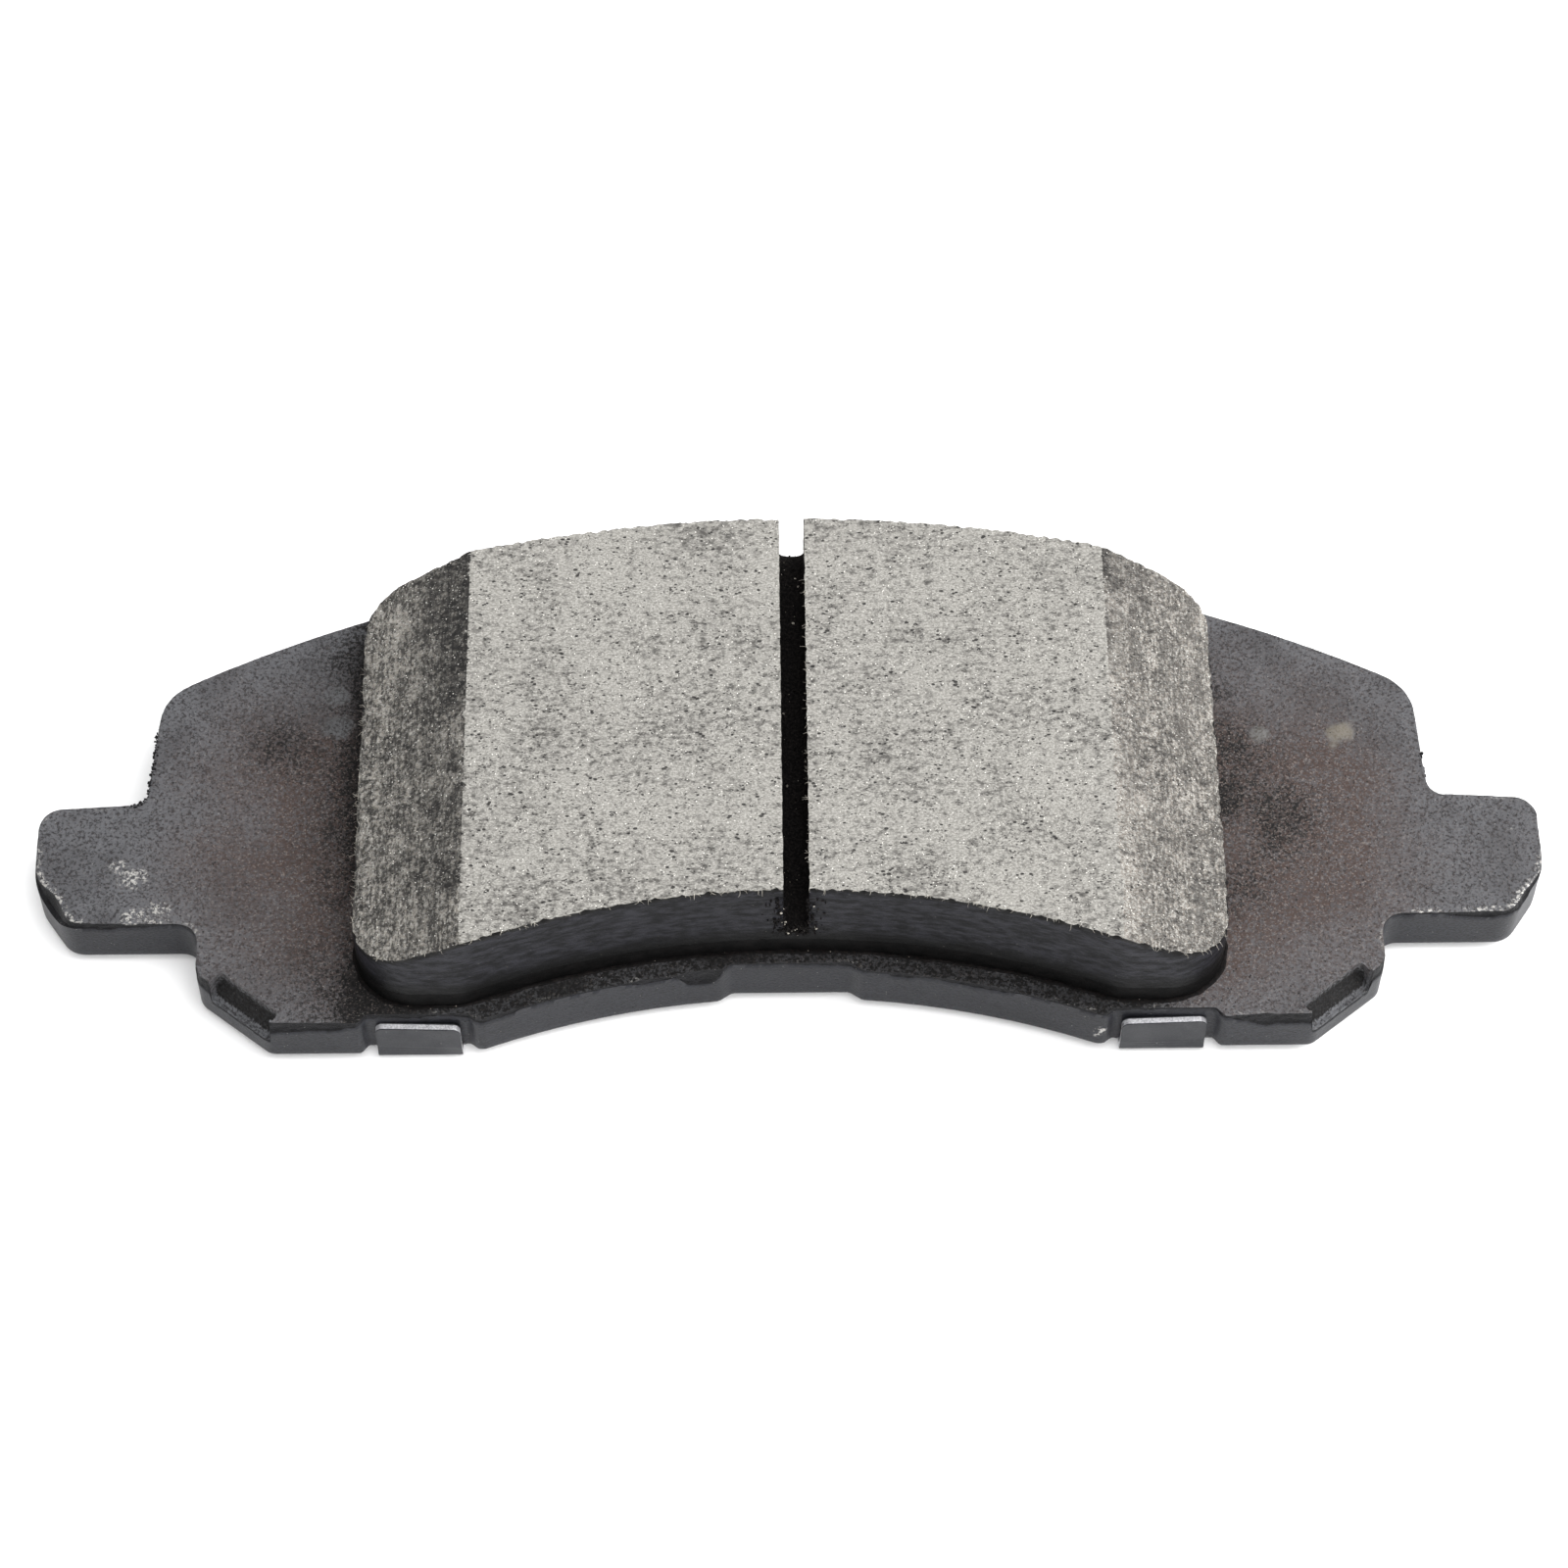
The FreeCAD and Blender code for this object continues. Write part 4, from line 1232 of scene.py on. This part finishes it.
    # the coined pockets are painted near black, except the ridge by the rim: painted shade in the recess,
    # carried in the soot share
    sootAndPocketShade = np.maximum(sootAndPocketShade, (dip > 0.3 * mm) * np.where(rimGapOf(places, rim) < 0.35 * mm, 0.1, 1.0))
    haze *= (1 - front) * (dip < 0.3 * mm) * (1 - 0.75 * ease(np.abs(x), 50 * mm, 62 * mm))
    drip = np.zeros(len(places))
    for cx, cy, radius, _, pale in plate["blobs"]:
        bend = 1 + 0.45 * roughAll(places, 1.5 * mm, 64.0, 2)
        clean = np.exp(-((np.hypot(x - cx * mm, (y - cy * mm) * 1.25) * bend / (radius * mm)) ** 8))
        sootAndPocketShade *= 1 - clean
        haze *= 1 - clean
        drip = np.maximum(drip, clean * pale)
    onLip = ease(z, high.z - 0.15 * mm, high.z - 0.02 * mm)
    away = rimGapOf(places, rim)
    patches = np.clip(0.25 + 1.3 * roughAll(places, 3.0 * mm, 73.0, 2), 0, 1)
    rubbed = (0.45 + 0.35 * (np.abs(x) > 56 * mm)) * patches * ease(-y, -2 * mm, 8 * mm)
    rubbed = rubbed + 0.8 * earCorner(x, y) ** 0.5
    wearAndPocketHighlight = onLip * ease(-away, -0.40 * mm, -0.10 * mm) * rubbed
    # a thin band of bare steel along each pocket's upper edge: a painted highlight
    wearAndPocketHighlight = np.maximum(wearAndPocketHighlight, 0.42 * (dip > 0.0) * (dip < 0.25 * mm) * (z > high.z - 0.3 * mm))
    for cx, cy, radius, strength in plate["scuffs"]:
        reach = np.hypot(x - cx * mm, (y - cy * mm) * 1.2) / (radius * mm)
        marks = np.clip(0.85 + 0.6 * roughAll(places, 1.3 * mm, 72.0, 2), 0, 1)
        wearAndPocketHighlight = np.maximum(wearAndPocketHighlight, strength * ease(1 - reach, 0, 0.9) * marks * (z > high.z - 0.3 * mm))
    nickX, nickZ, nickWide, nickHigh = plate["nick"]
    nick = ease(1 - np.hypot((x - nickX) / nickWide, (z - nickZ) / nickHigh), 0, 0.6)
    wearAndPocketHighlight = np.maximum(wearAndPocketHighlight, nick * (y < 0) * (z < high.z - 0.5 * mm))
    paints = {"haze": haze, "sootAndPocketShade": sootAndPocketShade, "wearAndPocketHighlight": wearAndPocketHighlight, "drip": drip}
    paints = {label: np.clip(values, 0, 1) for label, values in paints.items()}
    shell.toPiece("steel_backing_plate", plateFinishes, "backing_plate", 48, paints)


makeBackingPlate()


bond = {
    "step": 0.3 * mm,
    "spread": 0.16 * mm,         # how unevenly the film squeezed out
    "bead": 0.05 * mm,
    "underRough": 0.05 * mm,
    "plugBevel": 0.4 * mm,
}


def bondFilmShadeFinish():
    bench = Bench("bondFilmInPaintedShade", roughness=0.6, shine=0.08)
    clot = bench.grain(0.35 * mm, seed=81, detail=3, rough=0.65)
    # the squeezed-out film is painted near black: painted shade along the lining's base, with only a trace
    # of its own brown
    colour = bench.blend(bench.pull(clot, 0.42, 0.70), tint(6, 5, 5), tint(20, 16, 15))
    spark = bench.pull(bench.grains(0.7 * mm, seed=82), 0.09, 0.04)
    colour = bench.cover(colour, spark, (170, 160, 150), 0.6)
    return bench.done(colour=colour, normal=bench.relief(clot, 0.08 * mm, 0.8))


def underlayerCoatAndShadeFinish():
    bench = Bench("underlayerCoatAndShade", roughness=0.6, shine=0.06)
    clump = bench.grain(0.7 * mm, seed=84, detail=4, rough=0.65, stretch=(2.2, 2.2, 1))
    fine = bench.grain(0.15 * mm, seed=85)
    # near black: the underlayer's black coat, darkened further as painted shade at the lining's base
    colour = bench.blend(bench.pull(clump, 0.36, 0.68), tint(7, 7, 7), tint(15, 14, 14))
    height = bench.weigh((clump, 1), (fine, 0.4))
    return bench.done(colour=colour, normal=bench.relief(height, 0.08 * mm, 0.8))


def makeBondFilm():
    low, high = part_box("bond_film")
    ring = closedPoints(outlineOf("bond_film", low.z), bond["step"])
    out = outwardOf(ring)
    flat = np.column_stack([ring, np.zeros(len(ring))])
    spread = bond["spread"] * (roughAll(flat, 2.2 * mm, 90.0, 2) + 0.5 * roughAll(flat, 0.7 * mm, 91.0))
    spread = np.clip(spread, -0.2 * mm, 0.3 * mm)
    bead = bond["bead"] * np.clip(0.5 + roughAll(flat, 1.3 * mm, 92.0), 0, 1.5)
    thick = high.z - low.z
    shell = Shell()
    # reach in mm, share of the thickness and share of the bead, from the foot over the crown
    section = [(0, 0, 0), (0.04, 0.5, 0), (0, 0.9, 0.5), (-0.08, 1, 1), (-0.2, 1, 1), (-0.45, 1, 0)]
    rows = []
    for reach, rise, crown in section:
        spots = ring + out * (spread + reach * mm)[:, None]
        rows.append(shell.put(np.column_stack([spots, low.z + thick * rise + bead * crown])))
    shell.wall(rows, 0)
    holes = []
    for centre in plugCentres():
        circle = circleRing(centre, plate["holeRadius"])
        levels = [shell.put(np.column_stack([circle, np.full(len(circle), z)])) for z in (low.z, high.z)]
        shell.wall([level[::-1] for level in levels], 0)
        holes.append(levels)
    shell.fill([rows[-1]] + [levels[1] for levels in holes], [], 0)
    shell.fill([rows[0]] + [levels[0] for levels in holes], [], 0, upward=False)
    shell.toPiece("bond_film_bead", [bondFilmShadeFinish()], "bond_film", sharp=50)


def makeUnderlayer():
    low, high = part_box("underlayer")
    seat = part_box("bond_film")[1].z
    ring = closedPoints(outlineOf("underlayer", seat), block["wallStep"])
    out = outwardOf(ring)
    shell = Shell()
    rows = []
    for share in np.linspace(0, 1, 9):
        z = seat + (high.z - seat) * share
        places = np.column_stack([ring, np.full(len(ring), z)])
        push = bond["underRough"] * (roughAll(places, 1.6 * mm, 95.0, 2) - 0.4)
        push = push + block["wallRough"] * roughAll(places, 0.6 * mm, 2.0) - 0.02 * mm * share
        spots = ring + out * push[:, None]
        rows.append(shell.put(np.column_stack([spots, places[:, 2]])))
    shell.wall(rows, 0)
    plugs = []
    for centre in plugCentres():
        bevel = bond["plugBevel"]
        levels = []
        for z, inset in ((seat, 0), (low.z + bevel, 0), (low.z + bevel * 0.3, bevel * 0.3), (low.z, bevel)):
            circle = circleRing(centre, plate["holeRadius"] - inset)
            levels.append(shell.put(np.column_stack([circle, np.full(len(circle), z)])))
        shell.wall(levels[::-1], 0)
        shell.fill([levels[-1]], [], 0, upward=False)
        plugs.append(levels[0])
    shell.fill([rows[-1]], [], 0)
    shell.fill([rows[0]] + plugs, [], 0, upward=False)
    shell.toPiece("moulded_underlayer", [underlayerCoatAndShadeFinish()], "underlayer", sharp=40)


makeBondFilm()
makeUnderlayer()


shim = {
    "edgeSoftening": 0.035 * mm,
    "coatSoftening": 0.02 * mm,
    "clipTilt": 1.7,             # degrees, the lower pair's inner ends lean out
    "clipSpacing": 67.0 * mm,
    "bendLevel": 0.9 * mm,       # the lean starts here and is full this much higher
    "bendHeight": 1.2 * mm,
}


def rubberFinish():
    bench = Bench("shimRubber", roughness=0.5, shine=0.25)
    fine = bench.grain(0.12 * mm, seed=101, rough=0.6)
    wide = bench.grain(5 * mm, seed=102, detail=3)
    colour = bench.blend(bench.pull(fine, 0.38, 0.66), tint(44, 45, 49), tint(33, 34, 37))
    colour = bench.cover(colour, bench.pull(wide, 0.42, 0.7, 0.0, 0.4), (36, 37, 40))
    dust = bench.pull(bench.grains(1.6 * mm, seed=103), 0.06, 0.02)
    return bench.done(
        colour=bench.cover(colour, dust, (150, 150, 150), 0.4),
        normal=bench.relief(fine, 0.02 * mm, 0.5),
        roughness=bench.pull(wide, 0.35, 0.65, 0.44, 0.58),
    )


def shearedSteelFinish():
    bench = Bench("shearedSheetSteel", roughness=0.4, metallic=0.55)
    drawn = bench.grain(0.18 * mm, seed=105, detail=3, rough=0.6, stretch=(1, 1, 5))
    blot = bench.grain(1.4 * mm, seed=106)
    colour = bench.blend(bench.pull(drawn, 0.36, 0.66), tint(214, 214, 217), tint(172, 172, 176))
    return bench.done(
        colour=bench.cover(colour, bench.pull(blot, 0.55, 0.75, 0.0, 0.3), (120, 118, 118)),
        normal=bench.relief(drawn, 0.03 * mm, 0.6),
        roughness=bench.pull(blot, 0.35, 0.65, 0.26, 0.45),
    )


def adhesiveFinish():
    bench = Bench("shimAdhesive", roughness=0.4)
    smear = bench.grain(1.5 * mm, seed=108, detail=3, stretch=(3, 1, 1))
    colour = bench.blend(bench.pull(smear, 0.35, 0.65), tint(128, 124, 112), tint(108, 104, 94))
    return bench.done(colour=colour, normal=bench.relief(smear, 0.03 * mm, 0.5))


def softenedSheet(node, name, finish, softening):
    # one shim layer with its sheared edges softened and the lower clips leaning as they were bent
    low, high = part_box(node)
    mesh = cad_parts[node].data.copy()
    mesh.name = name
    sheet = bmesh.new()
    sheet.from_mesh(mesh)
    bmesh.ops.remove_doubles(sheet, verts=sheet.verts, dist=0.002 * mm)
    bmesh.ops.dissolve_limit(sheet, angle_limit=math.radians(1.5), verts=sheet.verts, edges=sheet.edges)
    creases = [e for e in sheet.edges if len(e.link_faces) == 2 and e.calc_face_angle(0) > math.radians(50)]
    bmesh.ops.bevel(sheet, geom=creases, offset=softening, segments=2, affect="EDGES", clamp_overlap=True)
    for step in range(4):
        cut = (0, 0, shim["bendLevel"] + shim["bendHeight"] * step / 3)
        everything = sheet.verts[:] + sheet.edges[:] + sheet.faces[:]
        bmesh.ops.bisect_plane(sheet, geom=everything, plane_co=cut, plane_no=(0, 0, 1))
    bmesh.ops.triangulate(sheet, faces=sheet.faces)
    for point in sheet.verts:
        spot = point.co
        lift = max(0.0, min(1.0, (spot.z - shim["bendLevel"]) / shim["bendHeight"]))
        if lift and spot.y < 0:
            side = 1 if spot.x > 0 else -1
            fromMiddle = spot.x - side * shim["clipSpacing"] / 2
            spot.y += side * fromMiddle * math.tan(math.radians(shim["clipTilt"])) * lift
    sheet.to_mesh(mesh)
    sheet.free()
    mesh.materials.clear()
    mesh.materials.append(finish)
    mesh.polygons.foreach_set("material_index", [0] * len(mesh.polygons))
    mesh.polygons.foreach_set("use_smooth", [False] * len(mesh.polygons))
    piece = bpy.data.objects.new(name, mesh)
    bpy.context.scene.collection.objects.link(piece)
    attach(piece, "root")
    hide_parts(node)
    print(f"{name}: {len(mesh.vertices)} points, {len(mesh.polygons)} faces")


rubber = rubberFinish()
edgeSoft, coatSoft = shim["edgeSoftening"], shim["coatSoftening"]
softenedSheet("shim_core", "shim_steel_sheet", shearedSteelFinish(), edgeSoft)
softenedSheet("shim_outer_coat", "shim_outer_rubber", rubber, coatSoft)
softenedSheet("shim_inner_coat", "shim_inner_rubber", rubber, coatSoft)
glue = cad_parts["shim_adhesive"]
glue.data.materials.clear()
glue.data.materials.append(adhesiveFinish())
print("shim layers finished")
